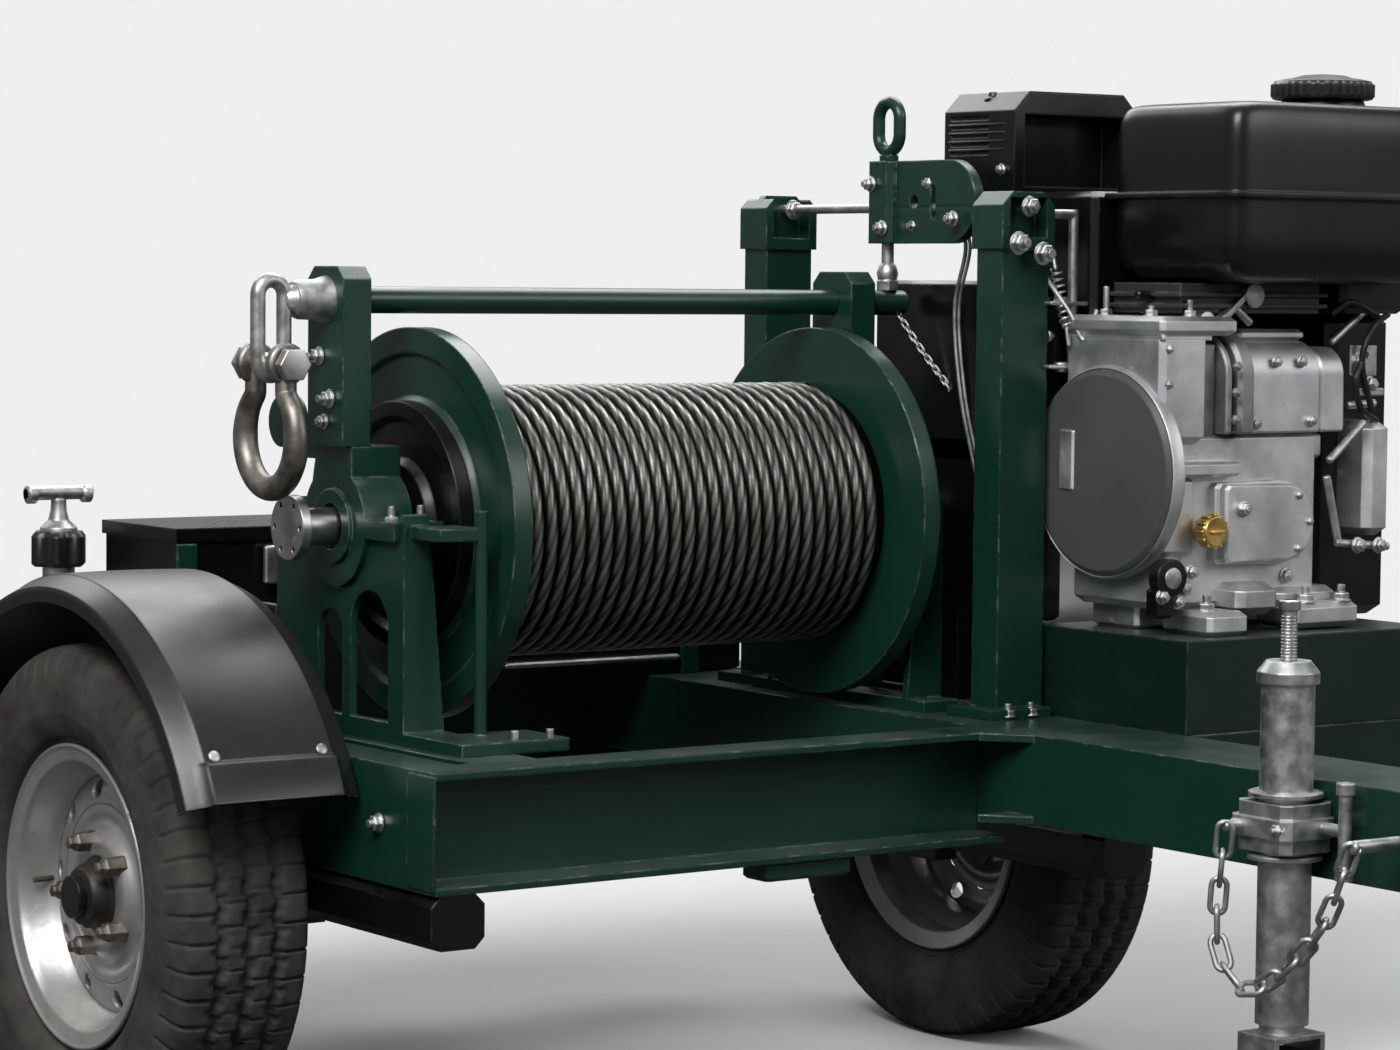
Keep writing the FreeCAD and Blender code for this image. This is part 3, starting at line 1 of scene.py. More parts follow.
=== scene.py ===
"""Looks for a trailer mounted rope winch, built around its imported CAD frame.

Metres.  X runs along the axle and the drum, Y to the rear, Z up.  Each new piece is a surface
worked out with numpy: a grid of points over two parameters, or a profile carried along a path.
Places follow from the boxes of the CAD nodes that a piece sits on.
"""

import json
import math

import bpy
import numpy as np
from mathutils import Matrix, Vector

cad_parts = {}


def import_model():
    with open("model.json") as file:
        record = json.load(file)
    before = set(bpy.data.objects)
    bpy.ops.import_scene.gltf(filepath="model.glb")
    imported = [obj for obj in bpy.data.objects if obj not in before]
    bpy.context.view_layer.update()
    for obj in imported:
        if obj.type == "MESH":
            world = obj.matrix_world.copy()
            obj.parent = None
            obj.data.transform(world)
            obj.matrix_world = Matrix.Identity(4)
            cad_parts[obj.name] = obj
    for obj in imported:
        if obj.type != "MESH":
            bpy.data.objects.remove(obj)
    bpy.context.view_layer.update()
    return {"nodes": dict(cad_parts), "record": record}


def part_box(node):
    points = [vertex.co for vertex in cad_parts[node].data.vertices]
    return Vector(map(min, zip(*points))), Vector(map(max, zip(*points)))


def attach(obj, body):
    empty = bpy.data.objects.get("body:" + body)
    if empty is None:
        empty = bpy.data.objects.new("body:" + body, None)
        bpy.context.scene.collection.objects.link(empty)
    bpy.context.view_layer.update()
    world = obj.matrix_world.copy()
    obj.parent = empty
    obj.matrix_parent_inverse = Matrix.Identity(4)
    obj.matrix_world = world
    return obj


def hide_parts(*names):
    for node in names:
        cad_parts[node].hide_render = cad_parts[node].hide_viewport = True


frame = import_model()
TAU = math.tau
X, Y, Z = np.eye(3)
ORIGIN = np.zeros(3)


# ---------------------------------------------------------------- shader maths
class Tree:
    """A material's node tree; node() adds any node, and numbers or links fill its sockets."""

    def __init__(self, name):
        self.material = bpy.data.materials.new(name)
        self.material.use_nodes = True
        self.nodes = self.material.node_tree.nodes
        self.nodes.clear()
        self.links = self.material.node_tree.links

    def node(self, kind, settings=(), out=0, **inputs):
        """Adds a node, gives it its settings and then its sockets, and returns one output."""
        made = self.nodes.new("ShaderNode" + kind)
        for key, value in dict(settings).items():
            setattr(made, key, value)
        for key, value in inputs.items():
            socket = made.inputs[int(key[1:])] if key[1:].isdigit() else made.inputs[
                key.replace("_", " ")]
            self.feed(socket, value)
        return Value(self, made.outputs[out])

    def feed(self, socket, value):
        """Links a value to a socket, or sets a number, vector or colour on it."""
        if isinstance(value, Value):
            self.links.new(value.socket, socket)
        elif hasattr(value, "__len__") and len(value) == 3 and socket.type == "RGBA":
            socket.default_value = (*value, 1)
        else:
            socket.default_value = value

    def place(self):
        """Object coordinates, in metres."""
        return self.node("TexCoord", out="Object")

    def noise(self, scale, detail=3, rough=0.55, stretch=None):
        """Noise from 0 to 1 at that many cells a metre, stretched along an axis if asked."""
        at = self.place()
        if stretch:
            at = self.node("Mapping", i0=at, Scale=stretch)
        return self.node("TexNoise", Vector=at, Scale=scale, Detail=detail, Roughness=rough)

    def mix(self, factor, low, high):
        """The colour low where factor is 0, and high where it is 1."""
        return self.node("Mix", {"data_type": "RGBA"}, out=2, i0=factor, i6=low, i7=high)

    def bump(self, height, strength, distance=0.001, **over):
        """The normal raised by a height in that many metres, over another normal if given."""
        return self.node("Bump", Height=height, Strength=strength, Distance=distance, **over)

    def surface(self, shader):
        """The material, with this shader for its surface."""
        output = self.nodes.new("ShaderNodeOutputMaterial")
        self.links.new(shader.socket, output.inputs[0])
        return self.material

    def finish(self, **sockets):
        """The material, with a Principled shader that has these sockets."""
        return self.surface(self.node("BsdfPrincipled", **sockets))


class Value:
    """A socket that takes part in Python arithmetic by adding Math nodes."""

    def __init__(self, tree, socket):
        self.tree, self.socket = tree, socket

    def math(self, operation, *others):
        """A Math node's result on this value and the others."""
        inputs = {f"i{i}": v for i, v in enumerate((self, *others))}
        return self.tree.node("Math", {"operation": operation}, **inputs)

    def __add__(self, other):
        return self.math("ADD", other)

    __radd__ = __add__

    def __mul__(self, other):
        return self.math("MULTIPLY", other)

    __rmul__ = __mul__

    def __sub__(self, other):
        return self.math("SUBTRACT", other)

    def __rsub__(self, other):
        return (self * -1) + other

    def __pow__(self, other):
        return self.math("POWER", other)

    def __truediv__(self, other):
        return self.math("DIVIDE", other)

    def over(self, low, high):
        """0 below low and 1 above high, straight between."""
        return self.tree.node("MapRange", {"clamp": True}, Value=self, From_Min=low, From_Max=high)

    def axis(self, letter):
        """One coordinate of a vector."""
        return self.tree.node("SeparateXYZ", out="XYZ".index(letter), i0=self)


def edges(tree, radius=0.003):
    """The normal rounded over near an edge, and how much of an edge each point is, 0 to 1."""
    soft = tree.node("Bevel", {"samples": 4}, Radius=radius)
    flat = tree.node("NewGeometry", out="Normal")
    turned = tree.node("VectorMath", {"operation": "DOT_PRODUCT"}, out="Value", i0=soft, i1=flat)
    return soft, (1 - turned).over(0.01, 0.12)


def upward(tree):
    """1 where the surface looks up, 0 where it stands upright or looks down."""
    return tree.node("NewGeometry", out="Normal").axis("Z").over(0.35, 1.0)


# ---------------------------------------------------------------- finishes
def enamel(name, colour, worn, roughness=0.32, chips=0.5, dust=0.25, dusty=(0.20, 0.19, 0.17)):
    """Machine paint: uneven gloss, an orange-peel skin, dust on top and bare metal at edges."""
    tree = Tree(name)
    soft, edge = edges(tree)
    cloud = tree.noise(9, 4)
    speck = tree.noise(160, 4, 0.7)
    scratch = tree.noise(38, 5, 0.7)
    bare = (edge * scratch.over(0.50, 0.58) + speck.over(0.735, 0.76) * 0.6) * chips
    settled = upward(tree) * cloud.over(0.3, 0.75) * dust
    base = tree.mix(cloud.over(0.25, 0.8), tuple(0.78 * c for c in colour), colour)
    base = tree.mix(settled, base, dusty)
    base = tree.mix(bare, base, worn)
    skin = tree.noise(420, 2) * 0.15 + cloud * 0.8 - bare * 0.8
    normal = tree.bump(skin, 0.16, 0.002, Normal=soft)
    rough = roughness + cloud.over(0.2, 0.8) * 0.12 + settled * 0.35 + bare * 0.1
    return tree.finish(Base_Color=base, Roughness=rough, Normal=normal, Metallic=bare * 0.7)


def metal(name, bright, dull, roughness=0.34, patch=30, grain=0.3, stain=(0.09, 0.05, 0.025),
          stained=0.1):
    """Bare or plated metal: patches of two tones, a fine grain and a little brown staining."""
    tree = Tree(name)
    soft, edge = edges(tree, 0.002)
    patches = tree.noise(patch, 4, 0.6)
    fine = tree.noise(520, 3, 0.6)
    rust = tree.noise(46, 6, 0.72).over(0.60, 0.72) * stained
    base = tree.mix(patches.over(0.35, 0.65), dull, bright)
    base = tree.mix(edge * 0.5, base, tuple(min(1.0, 1.15 * c) for c in bright))
    base = tree.mix(rust, base, stain)
    rough = roughness + patches.over(0.3, 0.7) * 0.14 + rust * 0.4
    normal = tree.bump(fine * grain + patches * 0.4, 0.22, Normal=soft)
    return tree.finish(Base_Color=base, Roughness=rough, Normal=normal, Metallic=1 - rust * 0.9)


def moulded(name, colour, roughness):
    """Moulded plastic: a fine pebbled skin, faint scuffs and a film of dust on top."""
    tree = Tree(name)
    soft, edge = edges(tree)
    scuff = tree.noise(60, 5, 0.7, stretch=(1, 6, 1)).over(0.55, 0.8)
    film = upward(tree) * tree.noise(12, 4).over(0.3, 0.8) * 0.16
    base = tree.mix(scuff * 0.25, colour, tuple(c + 0.03 for c in colour))
    base = tree.mix(film, base, (0.16, 0.155, 0.145))
    base = tree.mix(edge * 0.3, base, tuple(c + 0.05 for c in colour))
    normal = tree.bump(tree.noise(900, 2), 0.08, Normal=soft)
    rough = roughness + scuff * 0.12 + film
    return tree.finish(Base_Color=base, Roughness=rough, Normal=normal)


def rubber(name):
    """Tyre rubber: near black, greyed by road dust in its low places."""
    tree = Tree(name)
    dusty = tree.noise(14, 5, 0.65).over(0.35, 0.75)
    grit = tree.noise(700, 3)
    base = tree.mix(dusty * 0.7, (0.020, 0.0195, 0.0185), (0.105, 0.097, 0.086))
    return tree.finish(Base_Color=base, Roughness=0.72 + dusty * 0.18,
                       Normal=tree.bump(grit, 0.25), Specular_IOR_Level=0.35)


def painted_steel(name):
    """Silver wheel paint, with rust creeping from edges and nuts and grime low down."""
    tree = Tree(name)
    soft, edge = edges(tree, 0.004)
    blotch = tree.noise(22, 6, 0.7)
    spots = tree.noise(85, 5, 0.75)
    rust = (edge * 0.7 + 0.35) * spots.over(0.56, 0.66) * blotch.over(0.42, 0.6)
    grime = blotch.over(0.45, 0.75) * 0.4
    base = tree.mix(grime, (0.50, 0.50, 0.49), (0.20, 0.19, 0.175))
    base = tree.mix(rust, base, (0.15, 0.062, 0.022))
    rough = 0.36 + grime * 0.3 + rust * 0.4
    normal = tree.bump(spots * 0.5 + rust, 0.25, Normal=soft)
    return tree.finish(Base_Color=base, Roughness=rough, Normal=normal, Metallic=0.80 - rust * 0.7)


def greased_rope(name):
    """Wire strands: a painted highlight on the crowns and painted shade in the grooves between
    strands and turns, read from the crown attribute, dulled in patches of dirt.
    """
    tree = Tree(name)
    # the crown attribute is painted shade and highlight, set for each point in rope()
    groove = tree.node("Attribute", {"attribute_name": "crown"}, out="Fac")
    lay = tree.noise(260, 4, 0.65)
    dirt = tree.noise(18, 4).over(0.35, 0.7)
    # painted highlight and shade from the crown attribute, broken by the lay and dulled by dirt
    painted_shine_and_dirt = groove.over(0.30, 0.95) * (0.45 + lay * 0.6) * (1 - dirt * 0.5)
    base = tree.mix(painted_shine_and_dirt, (0.006, 0.0058, 0.0050), (0.44, 0.43, 0.39))
    normal = tree.bump(lay, 0.3, 0.0008)
    return tree.finish(Base_Color=base, Roughness=0.42 - painted_shine_and_dirt * 0.12, Normal=normal, Metallic=0.75)


GREEN = enamel("green_enamel", (0.0050, 0.036, 0.023), (0.25, 0.27, 0.25), 0.24, 0.8)
DARK_GREEN = enamel("dark_green_enamel", (0.0028, 0.0150, 0.0105), (0.2, 0.22, 0.2), 0.28, 0.4)
BLACK = enamel("black_enamel", (0.0035, 0.0035, 0.0038), (0.10, 0.10, 0.10), 0.22, 0.35, 0.10)
COVER = enamel("dark_grey_enamel", (0.030, 0.031, 0.033), (0.3, 0.3, 0.3), 0.36, 0.3, 0.1)
SMOOTH_GREY = enamel("smooth_grey", (0.075, 0.077, 0.079), (0.5, 0.5, 0.5), 0.36, 0.2, 0.1)
HUB = enamel("hub_black", (0.012, 0.011, 0.010), (0.17, 0.085, 0.04), 0.45, 1.0, 0.1)
GALVANISED = metal("galvanised", (0.60, 0.61, 0.60), (0.34, 0.35, 0.35), 0.38, 55, stained=0.25)
STEEL = metal("bare_steel", (0.66, 0.66, 0.64), (0.42, 0.42, 0.41), 0.28, 24, stained=0.3)
WEATHERED = metal("weathered_steel", (0.34, 0.32, 0.29), (0.17, 0.155, 0.14), 0.40, 40, 0.5,
                  stained=0.5)
RUSTED = metal("rusted_steel", (0.26, 0.24, 0.22), (0.14, 0.105, 0.08), 0.5, 60, 0.5,
               (0.085, 0.045, 0.025), 0.8)
CAST = metal("cast_alloy", (0.66, 0.67, 0.67), (0.46, 0.47, 0.48), 0.44, 16, 0.8,
             (0.07, 0.062, 0.055), 0.45)
CAST_DARK = metal("cast_dark", (0.34, 0.35, 0.35), (0.20, 0.205, 0.21), 0.5, 16, 0.8,
                  stained=0.15)
FINISH = {
    "green_paint": GREEN, "black_enamel": BLACK, "galvanised": GALVANISED, "bare_steel": STEEL,
    "cast_alloy": CAST, "tyre_rubber": rubber("tyre_rubber"),
    "wheel_silver": painted_steel("wheel_silver"), "wire_rope": greased_rope("wire_rope"),
    "black_plastic": moulded("black_plastic", (0.0085, 0.009, 0.0105), 0.30),
    "brass": metal("brass", (0.78, 0.56, 0.20), (0.50, 0.34, 0.11), 0.30, 40),
}
SPECIAL = {"cylinder_head": COVER, "engine_bed": DARK_GREEN}
SLOT_OF = {row["node"]: row["material_slot"] for row in frame["record"]["subparts"]}

for label, cad in frame["nodes"].items():
    cad.data.materials.clear()
    cad.data.materials.append(SPECIAL.get(label, FINISH[SLOT_OF[label]]))


# ---------------------------------------------------------------- surfaces
SHARP = math.radians(32)


class Form:
    """Surfaces gathered into one mesh. Every patch is worked out as whole arrays of points."""

    def __init__(self):
        self.points, self.faces, self.count, self.shade = [], [], 0, []

    def add(self, points, faces, shade=None):
        """Takes in points, the faces between them, and a shade for each point."""
        points = np.asarray(points, float).reshape(-1, 3)
        self.faces += [[k + self.count for k in face] for face in faces]
        self.points.append(points)
        self.shade.append(np.zeros(len(points)) if shade is None else shade.reshape(-1))
        self.count += len(points)
        return self

    def grid(self, points, rows=False, columns=False, caps=False, shade=None):
        """A grid of points, joined round along its rows or columns, its end rows capped."""
        tall, wide = points.shape[:2]
        i = np.arange(tall if rows else tall - 1)[:, None] * wide
        j = np.arange(wide if columns else wide - 1)[None]
        far = (i + wide) % (tall * wide)
        side = (j + 1) % wide
        faces = np.stack((i + j, i + side, far + side, far + j), -1).reshape(-1, 4).tolist()
        if caps:
            last = (tall - 1) * wide
            faces += [list(range(wide))[::-1], [last + k for k in range(wide)]]
        return self.add(points, faces, shade)

    def lathe(self, profile, centre, axis, steps=32):
        """A profile of (along, out) pairs turned about the axis through the centre."""
        along, out = np.array(profile, float).T
        axis = unit(axis)
        side, top = frame_of(axis)
        turn = round_of(steps)
        spoke = np.cos(turn)[:, None] * side + np.sin(turn)[:, None] * top
        points = (np.asarray(centre, float) + along[:, None, None] * axis
                  + out[:, None, None] * spoke)
        return self.grid(points, columns=True, caps=True)

    def rod(self, start, end, radius, steps=20, lip=None):
        """A round bar from point to point, its ends chamfered by the lip."""
        start, end = np.asarray(start, float), np.asarray(end, float)
        long = np.linalg.norm(end - start)
        lip = min(0.0015, radius / 3, long / 3) if lip is None else lip
        profile = [(0, radius - lip), (lip, radius), (long - lip, radius), (long, radius - lip)]
        return self.lathe(profile, start, end - start, steps)

    def sweep(self, path, section, up=Z, closed=False, scale=None):
        """A section of (side, up) pairs carried along a path."""
        path = np.asarray(path, float)
        tangent = unit(np.roll(path, -1, 0) - np.roll(path, 1, 0) if closed
                       else np.gradient(path, axis=0))
        side = unit(np.cross(tangent, up))
        top = np.cross(side, tangent)
        section = np.asarray(section, float)
        if scale is not None:
            section = section[None] * np.asarray(scale, float)[:, None, None]
        else:
            section = np.broadcast_to(section, (len(path), *section.shape))
        points = (path[:, None] + side[:, None] * section[..., :1]
                  + top[:, None] * section[..., 1:])
        return self.grid(points, rows=closed, columns=True, caps=not closed)

    def tube(self, path, radius, up=Z, closed=False, steps=12):
        """A round bar carried along a path."""
        return self.sweep(path, circle(radius, steps), up, closed)

    def slab(self, low, high, lip=0.002, axis=2):
        """A box between two corners, every edge chamfered by the lip."""
        low, high = np.minimum(low, high).astype(float), np.maximum(low, high).astype(float)
        u, v = [k for k in range(3) if k != axis]
        lip = min(lip, 0.45 * (high - low).min())
        corner = np.array([(0, 1), (1, 0), (-1, 0), (0, 1), (0, -1), (-1, 0), (1, 0), (0, -1)])
        spot = np.array([(0, 0), (0, 0), (1, 0), (1, 0), (1, 1), (1, 1), (0, 1), (0, 1)])
        points = np.zeros((4, 8, 3))
        inset = np.array([lip, 0, 0, lip])[:, None]
        for k, column in ((u, 0), (v, 1)):
            side = np.where(spot[:, column] == 0, 1, -1)
            points[..., k] = (np.where(spot[:, column] == 0, low[k], high[k])
                              + lip * corner[:, column] + inset * side)
        points[..., axis] = np.array([low[axis], low[axis] + lip, high[axis] - lip,
                                      high[axis]])[:, None]
        return self.grid(points, columns=True, caps=True)

    def slabs(self, *rows):
        """Boxes, each given as (left, right, front, back, foot, top, lip)."""
        for x0, x1, y0, y1, z0, z1, lip in rows:
            self.slab((x0, y0, z0), (x1, y1, z1), lip)
        return self

    def boss(self, centre, axis, half, radius, bore, steps=24, ease=0.001):
        """A short boss about its centre, its rims eased and its ends drawn in to the bore."""
        return self.lathe([(-half, bore), (ease - half, radius), (half - ease, radius),
                           (half, bore)], centre, axis, steps)

    def copies(self, other, spots, turns=None):
        """Another form repeated at each spot, turned by its own matrix where given."""
        base = np.concatenate(other.points)
        spots = np.asarray(spots, float).reshape(-1, 3)
        turns = np.broadcast_to(np.eye(3) if turns is None else turns, (len(spots), 3, 3))
        points = np.einsum("kij,nj->kni", turns, base) + spots[:, None]
        shade = np.tile(np.concatenate(other.shade), len(spots))
        faces = [[v + k * len(base) for v in face] for k in range(len(spots))
                 for face in other.faces]
        return self.add(points, faces, shade)

    def bolts(self, spots, axis, size=0.008, thread=0.004, washer=True):
        """A hexagon head at each spot, looking along the axis."""
        return self.copies(bolt(size, thread, washer), spots, turn_to(axis))

    def make(self, name, body, slot, replaces=(), finish=None, attribute=None, sharp=SHARP):
        """The mesh, at the origin, riding on its body and finished by its slot."""
        data = bpy.data.meshes.new(name)
        data.from_pydata(np.concatenate(self.points), [], self.faces)
        data.polygons.foreach_set("use_smooth", np.ones(len(data.polygons), bool))
        if sharp:
            data.set_sharp_from_angle(angle=sharp)
        if attribute:
            layer = data.attributes.new(attribute, "FLOAT", "POINT")
            layer.data.foreach_set("value", np.concatenate(self.shade))
        data.update()
        made = bpy.data.objects.new(name, data)
        bpy.context.scene.collection.objects.link(made)
        data.materials.append(finish or FINISH[slot])
        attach(made, body)
        if replaces:
            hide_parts(*replaces)
        return made


def unit(vectors):
    """The same directions, a length of 1 each."""
    vectors = np.asarray(vectors, float)
    return vectors / np.linalg.norm(vectors, axis=-1, keepdims=True)


def frame_of(axis):
    """Two directions square to an axis, the first as level as can be."""
    side = unit(np.cross(Z if abs(axis[2]) < 0.9 else Y, axis))
    return side, np.cross(axis, side)


def turn_to(axis):
    """The matrix that turns Z to the axis."""
    axis = unit(axis)
    side, top = frame_of(axis)
    return np.stack((side, top, axis), -1)


def round_of(steps):
    """Even angles round a full turn."""
    return np.arange(steps) / steps * TAU


def circle(radius, steps=12):
    """A circle's points as (cosine, sine) pairs."""
    turn = round_of(steps)
    return radius * np.stack((np.cos(turn), np.sin(turn)), -1)


def spokes(turn):
    """Directions square to X: sine along Y, cosine along Z."""
    return np.stack((0 * turn, np.sin(turn), np.cos(turn)), -1)


def mirrored(half):
    """Half an outline of (side, up) pairs that ends on the middle line, then its mirror image."""
    half = np.array(half)
    return np.concatenate((half, (half[:-1] * (-1, 1))[::-1]))


def through(points, steps=12):
    """A smooth path through points: cubic pieces whose slopes follow the neighbours."""
    points = np.asarray(points, float)
    slope = np.gradient(points, axis=0)
    t = np.linspace(0, 1, steps, endpoint=False)[None, :, None]
    a, b, m, n = points[:-1, None], points[1:, None], slope[:-1, None], slope[1:, None]
    path = ((2 * t ** 3 - 3 * t ** 2 + 1) * a + (t ** 3 - 2 * t ** 2 + t) * m
            + (3 * t ** 2 - 2 * t ** 3) * b + (t ** 3 - t ** 2) * n)
    return np.concatenate((path.reshape(-1, points.shape[1]), points[-1:]))


def stadium(radius, half, steps=12):
    """A long link's centre line in its own X-Z plane, two bends and two straights."""
    turn = np.linspace(0, math.pi, steps)
    top = np.stack((radius * np.cos(turn), 0 * turn, half + radius * np.sin(turn)), -1)
    return np.concatenate((top, -top))


def bolt(size=0.008, thread=0.004, washer=True):
    """A hexagon head on its washer, the thread's end showing; it looks along Z from its seat."""
    form, seat = Form(), 0.0018 if washer else 0.0
    if washer:
        form.lathe([(0, 1.15 * size), (0.0014, 1.25 * size), (seat, 1.15 * size)], ORIGIN, Z, 24)
    top = seat + 0.85 * size
    form.lathe([(seat, size), (top - 0.12 * size, size), (top, 0.86 * size)], ORIGIN, Z, 6)
    if thread:
        form.lathe([(top, 0.5 * size), (top + thread, 0.5 * size), (top + thread, 0.4 * size)],
                   ORIGIN, Z, 12)
    return form


def ends(label):
    """The lower and the upper corner of a CAD node's box."""
    return np.array(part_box(label))


def low(label):
    """The corner of a node's box nearest the left, the front and the ground."""
    return ends(label)[0]


def high(label):
    """The corner opposite to low."""
    return ends(label)[1]


def middle(label):
    """The centre of a node's box."""
    return ends(label).mean(0)


DRUM = middle("drum_shaft")
SIDES = (("left", -1), ("right", 1))


# ---------------------------------------------------------------- the rope
def rope():
    """Even turns of a six-strand rope; the strands' lobes wind slowly round its centre line.

    The centre line is a helix of radius R about the drum's axis, one rope's width a turn.  The
    section's radius is r times 1 less a groove that is deepest between two strands."""
    (start, end), centre = ends("rope_pack"), middle("rope_pack")
    turns, along, strands, lay_length, groove = 28, 132, 6, 0.150, 0.12
    wide = end[0] - start[0]
    pitch = wide / (turns + 1)
    radius = pitch * 0.515
    reach = (end[2] - start[2]) / 2 - radius
    turn = np.linspace(0, turns, turns * along + 1)
    out = spokes(-turn * TAU)
    path = centre + reach * out
    path[:, 0] = start[0] + pitch * (0.5 + turn)
    round_it = round_of(24)
    lays = TAU * reach / lay_length
    crown = np.abs(np.cos((round_it[None] - (turn * lays * TAU)[:, None]) * strands / 2))
    size = radius * (1 - groove + groove * crown ** 0.7)
    points = (path[:, None] + (size * np.cos(round_it))[..., None] * X
              + (size * np.sin(round_it))[..., None] * out[:, None])
    # painted shade and highlight: bright on the strands' outward crowns, dark between strands,
    # between turns and on each turn's inward side; kept as the crown attribute
    shade = (0.35 + 0.65 * crown) * np.clip(np.sin(round_it), 0, 1) ** 2.4
    # painted shade: a near-black core under the turns; it carries no crown value, so the gaps
    # between turns show dark
    core = reach - 0.1 * radius
    form = Form().grid(points, columns=True, caps=True, shade=shade)
    form.lathe([(0, core - 0.004), (0, core), (wide, core), (wide, core - 0.004)],
               (start[0], centre[1], centre[2]), X, 96)
    form.make("rope_turns", "drum", "wire_rope", ("rope_pack",), attribute="crown", sharp=None)


# ---------------------------------------------------------------- wheels
def tyre(side):
    """A tyre over two angles: four ribs of blocks parted by three wavy grooves.

    Across the tread s runs from -1 to 1; a groove is a dip where s, swayed by a wave in the
    turning angle, meets one of three places, and each rib is cut across at its own pitch."""
    (a, b), centre = ends(f"{side}_tyre"), middle(f"{side}_tyre")
    half, outer, bead = (b[0] - a[0]) / 2, (b[2] - a[2]) / 2, 0.1445
    edge, grooves, groove_deep = outer - 0.008, (-0.5, 0.0, 0.5), 0.0085
    profile = mirrored([
        (-0.72, bead - 0.012), (-0.74, bead + 0.004), (-0.86, bead + 0.010), (-0.97, bead + 0.026),
        (-1.0, bead + 0.046), (-0.97, outer - 0.030), (-0.90, outer - 0.012),
        (-0.80, outer - 0.0035), (-0.60, outer - 0.0012), (-0.30, outer), (0.0, outer)])
    fine = through(profile, 5)
    along, out, s = fine[:, 0] * half, fine[:, 1], fine[:, 0] / 0.80
    turn = round_of(840)
    wave = 0.045 * np.sin(turn * 52)[:, None]
    cut = sum(np.exp(-((s[None] - spot + wave) / 0.075) ** 6) for spot in grooves)
    rib = np.digitize(s, grooves)
    pitch = np.array([56, 72, 72, 56])[rib]
    phase = np.array([0, 0.4, 0.9, 0.5])[rib]
    saw = np.abs(((turn[:, None] / TAU * pitch + phase) % 1.0) - 0.5)
    sipe = np.exp(-(saw / 0.042) ** 4) * np.where(rib % 3 == 0, 0.55, 0.35)
    notch = np.exp(-(saw / 0.07) ** 4) * ((out > outer - 0.030) & (out <= edge))[None]
    ring = 0.0009 * np.exp(-(((out - bead - 0.030) / 0.0022) ** 2))[None]
    reach = out[None] - groove_deep * np.maximum(cut, sipe) * (out > edge) - 0.002 * notch
    x = along[None] * (1 + ring / half - 0.0015 * notch / half)
    points = x[..., None] * X + reach[..., None] * spokes(turn)[:, None]
    form = Form().grid(points + centre, rows=True)
    form.make(f"{side}_tread", f"{side}_wheel", "tyre_rubber", (f"{side}_tyre",), sharp=None)


def wheel(side, sign):
    """The rim's rolled edge and stepped well, its pressed disc with vents, nuts and hub.

    About each vent the disc is a grid from the hole's edge out to a sector's four sides."""
    centre, axis, body = middle(f"{side}_tyre"), sign * X, f"{side}_wheel"
    spoke = spokes(round_of(160))
    form = Form()

    def sleeve(profile):
        """A profile of (along, out) pairs turned about the axle."""
        along, out = np.array(profile).T[..., None, None]
        form.grid(centre + along * axis + out * spoke, columns=True)

    barrel = [(0.0575, 0.1405), (0.0600, 0.1430), (0.0585, 0.1455), (0.0545, 0.1448),
              (0.0515, 0.1400), (0.0505, 0.1310), (0.0490, 0.1285), (0.0300, 0.1265),
              (0.0200, 0.1190), (0.0150, 0.1150), (-0.0120, 0.1130), (-0.0180, 0.1200),
              (-0.0260, 0.1265), (-0.0490, 0.1285), (-0.0515, 0.1400), (-0.0560, 0.1450),
              (-0.0600, 0.1430), (-0.0570, 0.1380), (-0.0520, 0.1255), (-0.0280, 0.1235),
              (-0.0200, 0.1165), (-0.0120, 0.1090), (0.0130, 0.1105), (0.0190, 0.1150),
              (0.0290, 0.1228), (0.0470, 0.1250), (0.0540, 0.1290)]
    sleeve(barrel + barrel[:1])
    sleeve(through([(0.030, 0.036), (0.034, 0.0385), (0.034, 0.052), (0.031, 0.058),
                    (0.024, 0.066), (0.0225, 0.072), (0.025, 0.078), (0.0245, 0.086)], 5))
    vents, ring, hole, depth = 10, 0.1005, 0.0088, 0.005
    phi = round_of(48)
    edge = 1 / np.maximum(np.abs(np.cos(phi)) / (math.pi / vents * ring),
                          np.abs(np.sin(phi)) / 0.0145)
    blend = np.array([0, 0, 0.10, 0.3, 0.6, 1.0])[:, None]
    size = (1 - blend) * hole + blend * edge
    radius = ring + size * np.sin(phi)
    fall = np.interp(radius, (0.086, 0.1005, 0.115), (0.0245, 0.0235, 0.0165))
    fall[0] -= depth
    fall[2] += 0.0008
    for k in range(vents):
        at = size * np.cos(phi) / ring + k / vents * TAU + 0.2
        form.grid(centre + fall[..., None] * axis + radius[..., None] * spokes(at), columns=True)
    sleeve([(0.0165, 0.1150), (0.0150, 0.1180), (0.0180, 0.1212), (0.0230, 0.1230)])
    form.make(f"{side}_wheel_disc", body, "wheel_silver", (f"{side}_rim",))
    nut = Form().lathe([(0, 0.012), (0.006, 0.0098), (0.018, 0.0098), (0.020, 0.008),
                        (0.020, 0.006), (0.026, 0.006), (0.027, 0.004)], ORIGIN, Z, 6)
    form = Form().copies(nut, centre + 0.029 * axis + 0.052 * spokes(round_of(5) + 0.35),
                         turn_to(axis))
    form.make(f"{side}_wheel_nuts", body, "wheel_silver", finish=RUSTED)
    form = Form().lathe([(-0.045, 0.020), (-0.045, 0.040), (0.030, 0.0385), (0.033, 0.036),
                         (0.034, 0.0335), (0.036, 0.0315), (0.047, 0.0305), (0.052, 0.027),
                         (0.0545, 0.018), (0.0550, 0.006)], centre, axis, 48)
    form.make(f"{side}_grease_cap", body, "wheel_silver", finish=HUB)
    form = Form().rod(centre + 0.118 * Y + 0.022 * axis, centre + 0.113 * Y + 0.045 * axis, 0.0028)
    form.make(f"{side}_valve", body, "tyre_rubber")


